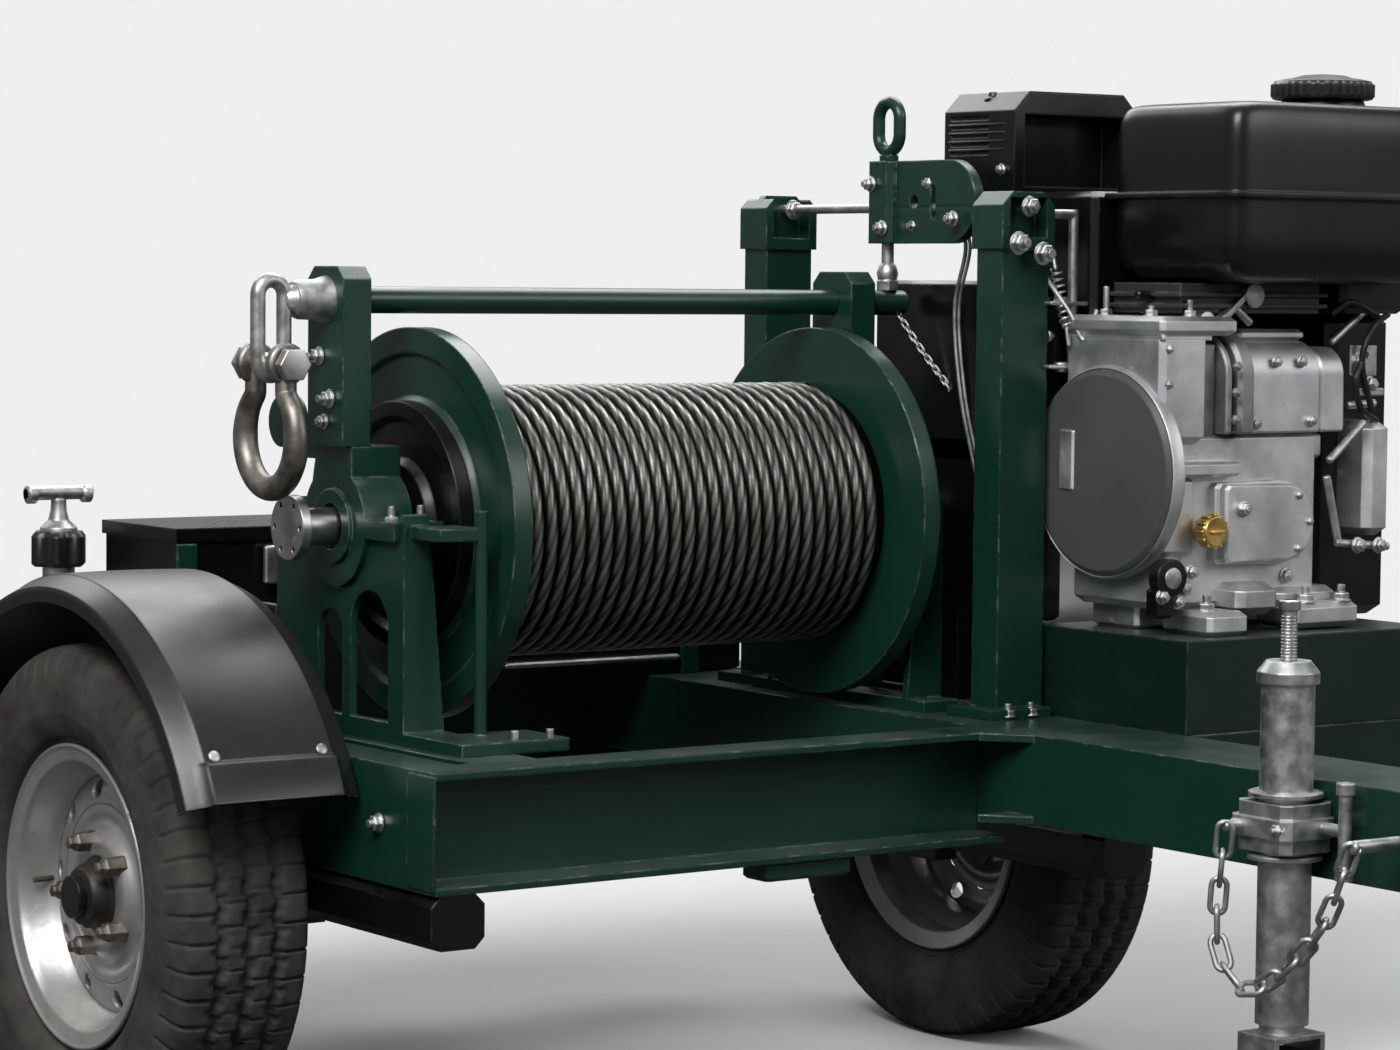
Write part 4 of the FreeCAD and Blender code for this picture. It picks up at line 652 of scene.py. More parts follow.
def mudguard(side, sign):
    """A skin over two parameters: the angle round the wheel, and the way across the guard.

    Across, the section is a flat crown between two slanted facets and the drawn-in lips; the
    corners between them are eased by short arcs, and the crown steps out in a band at each end."""
    rim = middle(f"{side}_tyre")
    outside = ends(f"{side}_mudguard")[(sign + 1) // 2, 0]
    inside = outside - sign * 0.178
    reach, half, sweep, thick = 0.306, 0.089, math.radians(67), 0.0035
    centre = np.array(((outside + inside) / 2, rim[1], rim[2]))
    across, drop = through(mirrored([
        (1.0, -0.026), (1.0, -0.016), (0.995, -0.0125), (0.975, -0.0105), (0.76, -0.0016),
        (0.735, -0.0003), (0.70, 0.0), (0.35, 0.0008), (0.0, 0.001)]), 4).T
    turn = np.concatenate([np.linspace(*part) for part in (
        (-1, -0.985, 4), (-0.90, -0.885, 4), (-0.88, 0.88, 90), (0.885, 0.90, 4), (0.985, 1, 4))])
    band = np.clip((np.abs(turn) - 0.885) / 0.012, 0, 1)[:, None]
    crown = np.clip((0.80 - np.abs(across)) / 0.05, 0, 1)
    out = reach + drop + 0.0042 * band * crown
    outer, inner = (
        centre + (across * (half + shift * (np.abs(across) > 0.97)))[:, None] * X
        + (out + shift * (np.abs(across) < 0.99))[..., None] * spokes(turn * sweep)[:, None]
        for shift in (0, -thick))
    form = Form().grid(np.concatenate((outer, inner[:, ::-1]), 1), columns=True)
    for end in (0, -1):
        form.grid(np.stack((outer[end], inner[end])))
    for y in (-0.115, 0.075):
        form.slab((inside, y, 0.330), (inside - sign * 0.0045, y + 0.040, 0.520), 0.001)
    form.make(f"{side}_guard", "chassis", "black_plastic", (f"{side}_mudguard",))
    rivet = Form().lathe([(0, 0.006), (0.0015, 0.0055), (0.0025, 0.003)], ORIGIN, Z, 16)
    form = Form()
    for shift in (-0.055, 0.055):
        for way in spokes(np.array((-1.02, 1.02))):
            form.copies(rivet, centre + shift * X + reach * way, turn_to(way))
    form.make(f"{side}_guard_rivets", "chassis", "galvanised")


def running_gear():
    """Both wheels, each under its guard."""
    for side, sign in SIDES:
        tyre(side)
        wheel(side, sign)
        mudguard(side, sign)


# ---------------------------------------------------------------- tie bar and shackle
def tie_gear():
    """The bar across the uprights, its plated collar, and the welded eye as a closed link.

    The link is a round section carried along a stadium; the collar is a profile turned about X."""
    left = low("left_upright")[0]
    y, z = DRUM[1], high("left_upright")[2] - 0.032
    form = Form().rod((left - 0.030, y, z), (high("tie_bar")[0], y, z), 0.013, 32, 0.003)
    form.make("tie_rod", "chassis", "green_paint", ("tie_bar",))
    form = Form().lathe([(-0.036, 0.008), (-0.036, 0.0165), (-0.030, 0.019), (-0.012, 0.0195),
                         (-0.006, 0.0215), (0, 0.023)], (left, y, z), X, 40)
    form.tube(stadium(0.014, 0.031, 18) + (left - 0.059, y, z - 0.027), 0.0073, Y, True, 16)
    form.lathe([(-0.010, 0.009), (-0.006, 0.012), (0.004, 0.015)], (left - 0.036, y, z), X, 24)
    form.make("tie_eye", "chassis", "galvanised")
    form = Form()
    for side, _ in SIDES:
        form.lathe([(0, 0.0235), (0.003, 0.022), (0.005, 0.016)],
                   (high(f"{side}_upright")[0], y, z), X, 32)
    form.make("tie_beads", "chassis", "green_paint")


def shackle():
    """A bow shackle: a round bar carried along the bow's line, thicker toward its foot.

    The line runs up two straight legs from an arc of the bow's radius, by flares that meet both
    in a tangent; the eyes and the pin's head are profiles turned about the pin's own line."""
    pin = middle("shackle")
    pin[2] = high("shackle")[2] - 0.020
    half, radius, leg, drop = 0.029, 0.049, 0.025, 0.069
    flare = (half ** 2 + (drop - leg) ** 2 - radius ** 2) / (2 * (radius - half))
    turn = math.atan2(drop - leg, half + flare)
    out = np.linspace(0, turn, 12)
    side = np.stack((half + flare - flare * np.cos(out), -leg - flare * np.sin(out)), -1)
    bow = np.linspace(turn, -math.pi - turn, 48)[1:-1]
    foot = radius * np.stack((np.cos(bow), np.sin(bow)), -1) - (0, drop)
    foot = foot[foot[:, 1] < side[-1, 1] + 1e-6]
    line = np.concatenate(([(half, 0.0)], side, foot, (side * (-1, 1))[::-1], [(-half, 0.0)]))
    gauge = 0.0102 + 0.0018 * np.clip((-line[:, 1] - leg) / (drop - leg), 0, 1)
    form = Form().sweep(line[:, :1] * Y + line[:, 1:] * Z + pin, circle(1.0, 24), X, scale=gauge)
    for sign in (-1, 1):
        form.lathe([(-0.0055, 0.011), (-0.0055, 0.018), (-0.0035, 0.020), (0.0035, 0.020),
                    (0.0055, 0.018), (0.0055, 0.011)], pin + sign * half * Y, Y, 32)
    form.make("shackle_bow", "hook_shackle", "galvanised", ("shackle",), WEATHERED)
    form = Form().rod(pin - (half + 0.008) * Y, pin + (half + 0.017) * Y, 0.0105, 28)
    form.lathe([(-0.0155, 0.013), (-0.0150, 0.0165), (-0.0035, 0.0165), (-0.003, 0.013)],
               pin - (half + 0.004) * Y, Y, 6)
    form.lathe([(0.0, 0.013), (0.001, 0.0175), (0.011, 0.0175), (0.0125, 0.014)],
               pin + (half + 0.0058) * Y, Y, 6)
    form.make("shackle_pin", "hook_shackle", "galvanised", finish=STEEL)


# ---------------------------------------------------------------- fasteners
def fasteners():
    """Hexagon heads where plates meet: flange, uprights, bearings, post, pedestal and rail."""
    flange = np.array((low("drum_shaft")[0], *DRUM[1:])) + 0.010 * X
    ring = flange + 0.001 * X + 0.024 * spokes(round_of(6) + math.pi / 6 - 0.3)
    form = Form().bolts(ring, -X, 0.0042, 0.002, False)
    form.lathe([(-0.003, 0.004), (-0.002, 0.011), (0.002, 0.013)], flange, X, 32)
    form.make("flange_bolts", "drum", "bare_steel")
    form = Form()
    for side, _ in SIDES:
        (x, _, foot), y = low(f"{side}_upright"), DRUM[1]
        form.bolts([(x, y + 0.010, foot + 0.085), (x, y - 0.010, foot + 0.045)], -X, 0.0075, 0.006)
        a, b = ends(f"{side}_bearing")
        form.bolts([(a[0] + 0.020, a[1] + 0.025, a[2] + 0.0635),
                    (b[0] - 0.014, a[1] + 0.025, a[2] + 0.0635),
                    (a[0] + 0.030, a[1] + 0.208, a[2] + 0.0635)], Z, 0.0072, 0.010)
    x, _, foot = low("left_upright")
    form.bolts([(x, DRUM[1], foot + 0.023)], -X, 0.0062, 0.003)
    (x, y, deck), plate = low("front_post"), 0.002
    form.bolts([(x + 0.027, y + 0.005, deck + plate), (x + 0.057, y + 0.005, deck + plate)], Z,
               0.0070, 0.006)
    pedestal, plate = low("left_pedestal"), 0.0025
    form.bolts([pedestal + (x, y, plate) for x, y in ((0.072, 0.023), (0.109, 0.020),
                                                      (0.040, 0.362))], Z, 0.0075, 0.008)
    rail, pitch = low("left_side_rail"), 0.240
    form.bolts([rail + (0, 0.048 + pitch * k, 0.055) for k in range(3)], -X, 0.0075, 0.004)
    form.make("frame_bolts", "chassis", "galvanised")


# ---------------------------------------------------------------- jockey stand and chain
def chain():
    """Welded links along the hanging line, each turned a quarter about it from the last."""
    (a, b), level = ends("safety_chain"), middle("jockey_clamp")[2]
    x, y, pitch = a[0] + 0.0085, middle("jockey_tube")[1], 0.0245
    line = [(x, y + back, level + up) for back, up in (
        (0.024, 0.0), (0.030, -0.104), (-0.014, -0.140), (-0.094, -0.080), (-0.134, 0.0))]
    path = through(line, 30)
    run = np.concatenate(([0], np.cumsum(np.linalg.norm(np.diff(path, axis=0), axis=1))))
    count = int(run[-1] / pitch)
    at = (np.arange(count) + 0.5) * run[-1] / count

    def along(place):
        """The line's points at those lengths from its start."""
        return np.stack([np.interp(place, run, path[:, k]) for k in range(3)], -1)

    ways = along(at + 0.003) - along(at - 0.003)
    link = Form().tube(stadium(0.0068, 0.0092, 10), 0.0026, Y, True, 10)
    form = Form().copies(link, along(at), [turn_to(way) @ quarter(k, 45)
                                           for k, way in enumerate(ways)])
    for back, end, radius in ((-0.134, b[0], 0.0060),
                              (0.024, low("jockey_clamp")[0] + 0.003, 0.0050)):
        form.rod((x - 0.002, y + back, level), (end, y + back, level), radius, 16)
    form.make("chain_links", "chassis", "galvanised", ("safety_chain",))


def quarter(k, start=0):
    """The matrix that turns every second link a quarter about its own length."""
    return np.array(Matrix.Rotation(math.radians(start + 90 * (k % 2)), 3, "Z"))


def jockey():
    """Ribs on the clamp, the crank's threaded spindle, and the small wheel's moulded tread."""
    x, y = middle("jockey_tube")[:2]
    clamp, z = low("jockey_clamp"), middle("jockey_clamp")[2]
    form = Form()
    for up in (-0.028, 0, 0.028):
        form.boss((x, y, z + up), Z, 0.003, 0.0335, 0.030, 40)
    form.bolts([(clamp[0] + 0.004, y + s * 0.026, z) for s in (-1, 1)], -X, 0.0062, 0.004)
    for up in (-0.038, 0.038):
        form.boss((x + 0.012, clamp[1] + 0.006, z + up), Z, 0.006, 0.0085, 0.004, 20)
    form.make("jockey_clamp_ribs", "chassis", "galvanised")
    top = np.array((x, y, high("jockey_tube")[2]))
    form = Form().lathe([(-0.064, 0.0125), (-0.060, 0.0125), (-0.058, 0.009)], top, Z, 24)
    form.lathe([(-0.010, 0.0075), (-0.009, 0.0098), (-0.001, 0.0098), (0, 0.0080)], top, Z, 20)
    for z in np.linspace(-0.053, -0.015, 14):
        form.lathe([(-0.0012, 0.0068), (0, 0.0077), (0.0012, 0.0068)], top + z * Z, Z, 20)
    form.make("jockey_thread", "chassis", "bare_steel")
    centre = middle("jockey_wheel")
    face = [(0.0225, 0.0085), (0.0225, 0.022), (0.0170, 0.030), (0.0190, 0.054), (0.0225, 0.058)]
    tread = [(0.0225, 0.066), (0.019, 0.0725), (0.012, 0.0748)]
    half = np.array(face + tread) * (-1, 1)
    form = Form().lathe(np.concatenate((half, (half * (-1, 1))[::-1])), centre, X, 96)
    form.make("jockey_roller_tread", "jockey_roller", "tyre_rubber", ("jockey_wheel",))
    form = Form()
    for sign in (-1, 1):
        form.bolts([centre + sign * 0.0295 * X], sign * X, 0.0095, 0.003)
    form.make("jockey_axle_nuts", "jockey_leg", "galvanised")


def prop_handle():
    """The prop's black lobed cap, with its plated bell, stem and cross bar."""
    (a, b), (x, y, _) = ends("rear_prop_handle"), middle("rear_prop_handle")
    turn, tall = round_of(96), 0.037
    lobes = (0.0275 + 0.0035 * np.cos(6 * turn))[:, None]
    rings = [np.column_stack(((x, y) + circle(1.0, 96) * (lobes - inset), 0 * turn + a[2] + z))
             for inset, z in ((0.004, 0.0), (0.0, 0.003), (0.0, tall - 0.005), (0.004, tall))]
    form = Form().grid(np.stack(rings), columns=True, caps=True)
    form.make("prop_cap", "chassis", "black_plastic", ("rear_prop_handle",))
    top, bar = a[2] + tall, b[2] - 0.008
    form = Form().lathe([(0, 0.020), (0.004, 0.0195), (0.012, 0.011), (0.022, 0.0085),
                         (0.034, 0.0080)], (x, y, top), Z, 36)
    form.rod((x, y, top), (x, y, bar + 0.004), 0.0070)
    form.rod((a[0], y, bar), (b[0], y, bar), 0.0078, 24)
    for end, sign in ((a[0], 1), (b[0], -1)):
        form.lathe([(0, 0.006), (0.002, 0.0098), (0.010, 0.0098), (0.012, 0.0078)],
                   (end, y, bar - 0.0015), sign * X, 24)
    form.make("prop_cross_bar", "chassis", "galvanised")


# ---------------------------------------------------------------- posts, rod and levers
def lifting():
    """Nuts of the post heads and lifting block, the link's nuts, the control chain and wires."""
    post, head = low("front_post"), high("front_post")
    form = Form().bolts([(post[0] + 0.027, post[1], head[2] - 0.052),
                         (post[0] + 0.059, post[1], head[2] - 0.062)], -Y, 0.0095, 0.006)
    (front, back), (x, _, z), grip = ends("lifting_rod"), middle("lifting_rod"), 0.008
    for y, sign in ((front[1], -1), (head[1] - 0.005, 1), (low("rear_post")[1] + 0.002, -1),
                    (back[1], 1)):
        form.bolts([(x, y - sign * grip, z)], sign * Y, 0.0085, 0.003)
    block = ends("lifting_block")
    face, foot, back = block[0, 0], block[0, 2], block[1, 1]
    form.bolts([(x, back - 0.067, foot + 0.018), (x, back - 0.092, foot + 0.062)], -X, 0.0065,
               0.004)
    form.bolts([(face, back - 0.030, foot + 0.016), (face, back - 0.010, foot + 0.062),
                (face, back - 0.147, foot + 0.025)], -X, 0.0068, 0.004)
    form.make("lifting_bolts", "chassis", "galvanised")
    foot = np.array((*middle("link_rod")[:2], low("link_rod")[2]))
    form = Form().lathe([(-0.004, 0.006), (-0.004, 0.012), (0.006, 0.012), (0.008, 0.006)],
                        foot + 0.004 * Z, Z, 6)
    form.lathe([(-0.026, 0.004), (-0.025, 0.009), (-0.012, 0.0115), (-0.004, 0.009), (0, 0.005)],
               foot + 0.030 * Z, Z, 24)
    form.make("link_nuts", "chassis", "galvanised")
    links = 18
    line = np.linspace((0.329, -0.078, 0.816), (0.362, -0.150, 0.715), links)
    way = turn_to(line[-1] - line[0])
    line[:, 2] -= 0.004 * np.sin(np.linspace(0, math.pi, links))
    link = Form().tube(stadium(0.0026, 0.0030, 8), 0.0011, Y, True, 8)
    form = Form().copies(link, line, [way @ quarter(k) for k in range(links)])
    form.make("control_chain", "chassis", "galvanised")
    form = Form()
    run = np.array([(0.338, -0.165, 0.900), (0.349, -0.185, 0.868), (0.352, -0.165, 0.800),
                    (0.353, -0.176, 0.710), (0.363, -0.192, 0.624)])
    hook = [(0.352, -0.300, 0.842), (0.366, -0.330, 0.800), (0.372, -0.345, 0.772),
            (0.380, -0.350, 0.790), (0.384, -0.352, 0.802)]
    for line, radius in ((run, 0.0022), (run - 0.007 * Y, 0.0018), (hook, 0.0026)):
        form.tube(through(line, 10), radius, X, steps=8)
    form.make("control_wires", "chassis", "galvanised")
    top, foot, turns = np.array((0.366, -0.308, 0.842)), np.array((0.366, -0.326, 0.785)), 9
    coil = np.linspace(0, turns, turns * 20) * TAU
    side, up = frame_of(unit(foot - top))
    ring = np.cos(coil)[:, None] * side + np.sin(coil)[:, None] * up
    form = Form().tube(np.linspace(top, foot, len(coil)) + 0.0055 * ring, 0.0012, X, steps=8)
    form.rod(top + (0, 0.004, 0.012), top, 0.0022)
    form.rod(foot, foot + (0, -0.004, -0.020), 0.0022)
    form.make("lever_spring", "chassis", "bare_steel")
    form = Form()
    for z in (0.742, 0.806):
        form.slabs((0.349, 0.399, -0.322, -0.294, z, z + 0.004, 0.001))
        form.boss((0.376, -0.307, z + 0.0015), Z, 0.0055, 0.0085, 0.004, 20)
    form.slabs((0.349, 0.353, -0.311, -0.300, 0.738, 0.818, 0.001))
    form.bolts([(0.356, -0.306, 0.775)], X, 0.0055, 0.003)
    form.make("lever_bracket", "chassis", "galvanised")


# ---------------------------------------------------------------- frame fittings
def fittings():
    """Small plates on the frame: an end plate, a bracket, a foot plate and the bearer's gusset."""
    a, b = ends("front_channel")
    foot, face, bearer = a[2], b[1], low("left_bearer")[0]
    form = Form()
    form.slab((a[0] - 0.0015, a[1] + 0.002, foot + 0.003),
              (a[0] + 0.0015, face - 0.002, b[2] - 0.003), 0.001, 0)
    form.slab((0.300, face - 0.012, foot + 0.006), (0.352, face - 0.002, foot + 0.050), 0.002, 1)
    form.slab((-0.052, a[1] + 0.006, foot - 0.018), (0.050, face - 0.004, foot + 0.001), 0.003)
    form.slab((bearer, face + 0.008, foot + 0.001), (bearer + 0.062, face + 0.048, foot + 0.051),
              0.003)
    form.make("frame_plates", "chassis", "green_paint")


def box_fittings():
    """The rear box's straps, latches and bare bottom edge, a black block beside the box that is
    painted shade behind the drum, and the plate that closes the deck under the engine bed.
    """
    a, b = ends("rear_box")
    front, foot, top = a[1], a[2], b[2]
    form = Form().slabs(*((x - 0.012, x + 0.012, front - 0.003, front + 0.001, foot, top - 0.016,
                           0.001) for x in (a[0] + 0.012, (a[0] + b[0]) / 2, b[0] - 0.012)))
    form.make("box_straps", "chassis", "green_paint")
    form = Form().slabs(*((x - 0.020, x + 0.020, front - 0.008, front - 0.0005, top - 0.060,
                           top - 0.020, 0.002) for x in (a[0] + 0.120, b[0] - 0.120)))
    form.slabs((0.040, 0.270, front - 0.008, front - 0.0005, foot + 0.017, foot + 0.023, 0.002))
    form.make("box_latches", "chassis", "galvanised")
    # painted shade: a black block fills the space behind the drum, from the box to the post
    form = Form().slabs((b[0] - 0.022, 0.362, front + 0.004, 0.325, foot + 0.001, top - 0.010,
                         0.003))
    form.make("painted_shade_block", "chassis", "black_enamel")
    a, b = ends("engine_bed")
    form = Form().slabs((a[0] + 0.002, b[0], a[1], a[1] + 0.010, 0.325, a[2] + 0.002, 0.003))
    form.make("bed_apron", "chassis", "green_paint", finish=DARK_GREEN)


# ---------------------------------------------------------------- tank and air cleaner
def swell(wave, power):
    """A sine or cosine raised to a power with its sign kept: below 1 it squares a circle off."""
    return np.sign(wave) * np.abs(wave) ** power


def tank():
    """The pressed tank as two shells on a seam flange, with its neck and its ribbed cap.

    A shell's plan is a circle whose sine and cosine are raised to a small power, so it comes out
    a rounded box. Toward the top it draws in by the cosine of a second angle, raised likewise."""
    a, b = ends("fuel_tank")
    seam, flange, corner = a[2] + 0.087, 0.010, 0.17
    spot, size = ((a + b) / 2)[:2], ((b - a) / 2)[:2]
    lon, lat = round_of(144), np.linspace(0, 0.4999, 26) * math.pi
    plan = np.stack((swell(np.cos(lon), corner), swell(np.sin(lon), corner)), -1)
    rise = np.abs(np.sin(lat)) ** 0.30
    form = Form()
    for sign, tall, power in ((1, 0.093, 0.12), (-1, 0.087, 0.24)):
        shrink = np.abs(np.cos(lat)) ** power
        points = np.zeros((len(lat), len(lon), 3))
        points[..., :2] = spot + shrink[:, None, None] * plan * (size - flange)
        points[..., 2] = seam + sign * tall * rise[:, None]
        form.grid(points[:, ::sign], columns=True, caps=True)
    rings = [np.column_stack((spot + plan * (size - inset), 0 * lon + seam + z))
             for inset, z in ((0.012, -0.003), (0.001, -0.003), (0.0, -0.002), (0.0, 0.002),
                              (0.001, 0.003), (0.012, 0.003))]
    form.grid(np.stack(rings), columns=True)
    foot, top = ends("fuel_cap")
    cap = np.array((*middle("fuel_cap")[:2], foot[2]))
    form.lathe([(-0.010, 0.046), (0.004, 0.043), (0.008, 0.041)], (*cap[:2], b[2] - 0.008), Z, 48)
    form.make("tank_shells", "chassis", "black_enamel", ("fuel_tank",))
    r, tall = (top[0] - foot[0]) / 2, top[2] - foot[2]
    form = Form().lathe([
        (0, r - 0.004), (0.001, r - 0.001), (0.004, r), (0.015, r), (0.019, r - 0.003),
        (0.021, r - 0.012), (tall - 0.004, r - 0.020), (tall - 0.001, r - 0.030), (tall, 0.010)],
        cap, Z, 96)
    grips = np.column_stack((circle(r - 0.0008, 36), np.full(36, 0.003)))
    form.copies(Form().rod(ORIGIN, 0.013 * Z, 0.0018, 8), cap + grips)
    form.make("tank_cap", "chassis", "black_plastic", ("fuel_cap",))


def cleaner():
    """The air cleaner's louvres, knob and screws, and the bands round the exhaust box."""
    a, b = ends("air_cleaner")
    (x, _, foot), back = a, b[1]
    form = Form()
    for z in foot + np.linspace(0.052, 0.078, 4):
        form.slab((x - 0.0005, back - 0.099, z - 0.002), (x + 0.004, back - 0.005, z + 0.002),
                  0.001)
    form.lathe([(0, 0.010), (0.003, 0.009), (0.005, 0.006), (0.009, 0.005), (0.010, 0.003)],
               (x + 0.020, back - 0.055, b[2] - 0.009), Z, 24)
    form.make("cleaner_louvres", "chassis", "black_enamel")
    form = Form().bolts([(x, back - 0.095, foot + 0.031), (x, back - 0.012, foot + 0.031)], -X,
                        0.0050, 0.001)
    form.make("cleaner_screws", "chassis", "galvanised")
    a, b = ends("muffler")
    form, (_, _, z) = Form(), middle("muffler")
    for x in (a[0] + 0.030, b[0] - 0.030):
        form.boss((x, -0.225, z), X, 0.004, 0.0635, 0.056, 48)
    form.make("muffler_bands", "chassis", "black_enamel")


# ---------------------------------------------------------------- engine
def cowl(form, left, right, grow=0.0, lip=0.002):
    """A cowl along X: its section is a flat front, a round shoulder and a flat top."""
    front, back, foot, top, r = -0.462 - grow, -0.320, 0.680, 0.772 + grow, 0.034 + grow
    turn = np.radians(np.linspace(180, 90, 14))
    shoulder = r * np.stack((np.cos(turn), np.sin(turn)), -1) + (front + r, top - r)
    section = np.concatenate(([(back, foot), (front + 0.002, foot), (front, foot + 0.002)],
                              shoulder, [(back, top)]))
    inward = unit(section - ((front + back) / 2, (foot + top) / 2))
    rings = [np.column_stack((0 * section[:, 0] + x, section - inset * inward))
             for x, inset in ((left, lip), (left + lip, 0), (right - lip, 0), (right, lip))]
    form.grid(np.stack(rings), columns=True, caps=True)


def engine():
    """The engine in its separate castings: case, cowls, flange, lid and their screws.

    Places are given from the block's left end, and from the casting's front face."""
    a, b = ends("engine_block")
    left, right, face, back = a[0], b[0], -0.465, b[1]
    form = Form().slabs(
        (left + 0.012, left + 0.225, face + 0.010, back, 0.506, 0.682, 0.007),
        (left, left + 0.062, face, back, 0.672, 0.780, 0.006),
        (left + 0.016, left + 0.104, face - 0.006, face + 0.020, 0.638, 0.653, 0.003),
        (left + 0.006, left + 0.052, face + 0.004, face + 0.030, 0.560, 0.638, 0.005),
        (left + 0.225, right - 0.028, face + 0.030, back, 0.520, 0.672, 0.010),
        (left + 0.062, right - 0.030, face + 0.020, back, 0.652, 0.680, 0.004))
    form.make("engine_case", "chassis", "cast_alloy", ("engine_block",))
    form = Form()
    cowl(form, left + 0.120, left + 0.218)
    cowl(form, left + 0.220, right - 0.006, -0.006, 0.008)
    form.make("engine_cowl", "chassis", "cast_alloy")
    form = Form()
    cowl(form, left + 0.082, left + 0.090, 0.008)
    cowl(form, left + 0.096, left + 0.118, 0.012, 0.004)
    form.slab((left + 0.064, face + 0.012, 0.660), (left + 0.082, back, 0.770), 0.002)
    form.bolts([(left + 0.086, face - 0.0125, z) for z in (0.695, 0.722, 0.748)], -Y, 0.0052,
               0.003, False)
    form.make("engine_flange", "chassis", "cast_alloy", finish=CAST_DARK)
    form = Form().slabs(
        (left - 0.005, left + 0.098, face - 0.005, back + 0.002, 0.778, 0.797, 0.005),
        (left + 0.140, left + 0.232, face + 0.040, back, 0.772, 0.784, 0.004),
        (left, left + 0.066, face, back, 0.773, 0.779, 0.001))
    form.make("engine_lid", "chassis", "cast_alloy")
    form, lid = Form(), 0.796
    for x, y, thread in ((0.018, -0.360, 0.022), (0.020, -0.425, 0.004), (0.052, -0.446, 0.010),
                         (0.078, -0.350, 0.004)):
        form.copies(bolt(0.0065, thread), (left + x, y, lid))
    form.rod((left + 0.018, -0.360, lid), (left + 0.018, -0.360, lid + 0.030), 0.0032)
    form.bolts([(left + x, -0.462, z) for x, z in ((0.155, 0.752), (0.190, 0.752), (0.205, 0.692),
                                                   (0.128, 0.690))], -Y, 0.0050, 0.001)
    form.bolts([(left + 0.008, face, z) for z in (0.690, 0.730, 0.765)], -Y, 0.0045, 0.001, False)
    form.bolts([(left + 0.100, face - 0.012, 0.606), (left + 0.030, face - 0.002, 0.528),
                (left + 0.180, face + 0.010, 0.535)], -Y, 0.0065, 0.002)
    form.make("engine_screws", "chassis", "galvanised")
    reservoir(left, face)
    controls(left, face, back)
    feet(left, right, face)
    flywheel_cover()
    black_covers()


def reservoir(left, face):
    """A flat rounded cover, and the filler plug in it.

    The cover's plan has one half-round end, and it steps in toward its face."""
    foot, top, x0, x1 = 0.552, 0.630, left + 0.078, left + 0.200
    r, level, ease = (top - foot) / 2, (foot + top) / 2, 0.004
    turn = np.radians(np.linspace(-90, 90, 28))
    plan = np.concatenate(([(x0 + ease, foot)],
                           (x1 - r, level) + r * np.stack((np.cos(turn), np.sin(turn)), -1),
                           [(x0 + ease, top), (x0, top - ease), (x0, foot + ease)]))
    inward = unit(plan - plan.mean(0))
    form = Form()
    for steps in (((0.012, 0.0), (-0.009, 0.0), (-0.012, 0.003)),
                  ((0.014, -0.004), (0.002, -0.004), (0.0, -0.002))):
        rings = [np.insert(plan - inset * inward, 1, face + y, axis=1) for y, inset in steps]
        form.grid(np.stack(rings), columns=True, caps=True)
    form.make("engine_cover", "chassis", "cast_alloy")
    inner = r - 0.008
    spots = [(x1 - r + inner * math.cos(t), face - 0.011, level + inner * math.sin(t))
             for t in np.radians((-60, 0, 60))]
    Form().bolts(spots, -Y, 0.0042, 0.001, False).make("cover_screws", "chassis", "galvanised")
    centre = middle("oil_filler")
    centre[1] = face
    form = Form().lathe([(0, 0.0125), (-0.007, 0.0125), (-0.008, 0.0165), (-0.019, 0.0165),
                         (-0.022, 0.0145), (-0.022, 0.010)], centre, Y, 48)
    for x, z in circle(0.0158, 12):
        form.rod(centre + (x, -0.0205, z), centre + (x, -0.0085, z), 0.0022, 8)
    form.slab(centre - (0.0095, 0.026, 0.002), centre + (0.0095, -0.020, 0.002), 0.001)
    form.make("filler_plug", "chassis", "brass", ("oil_filler",))


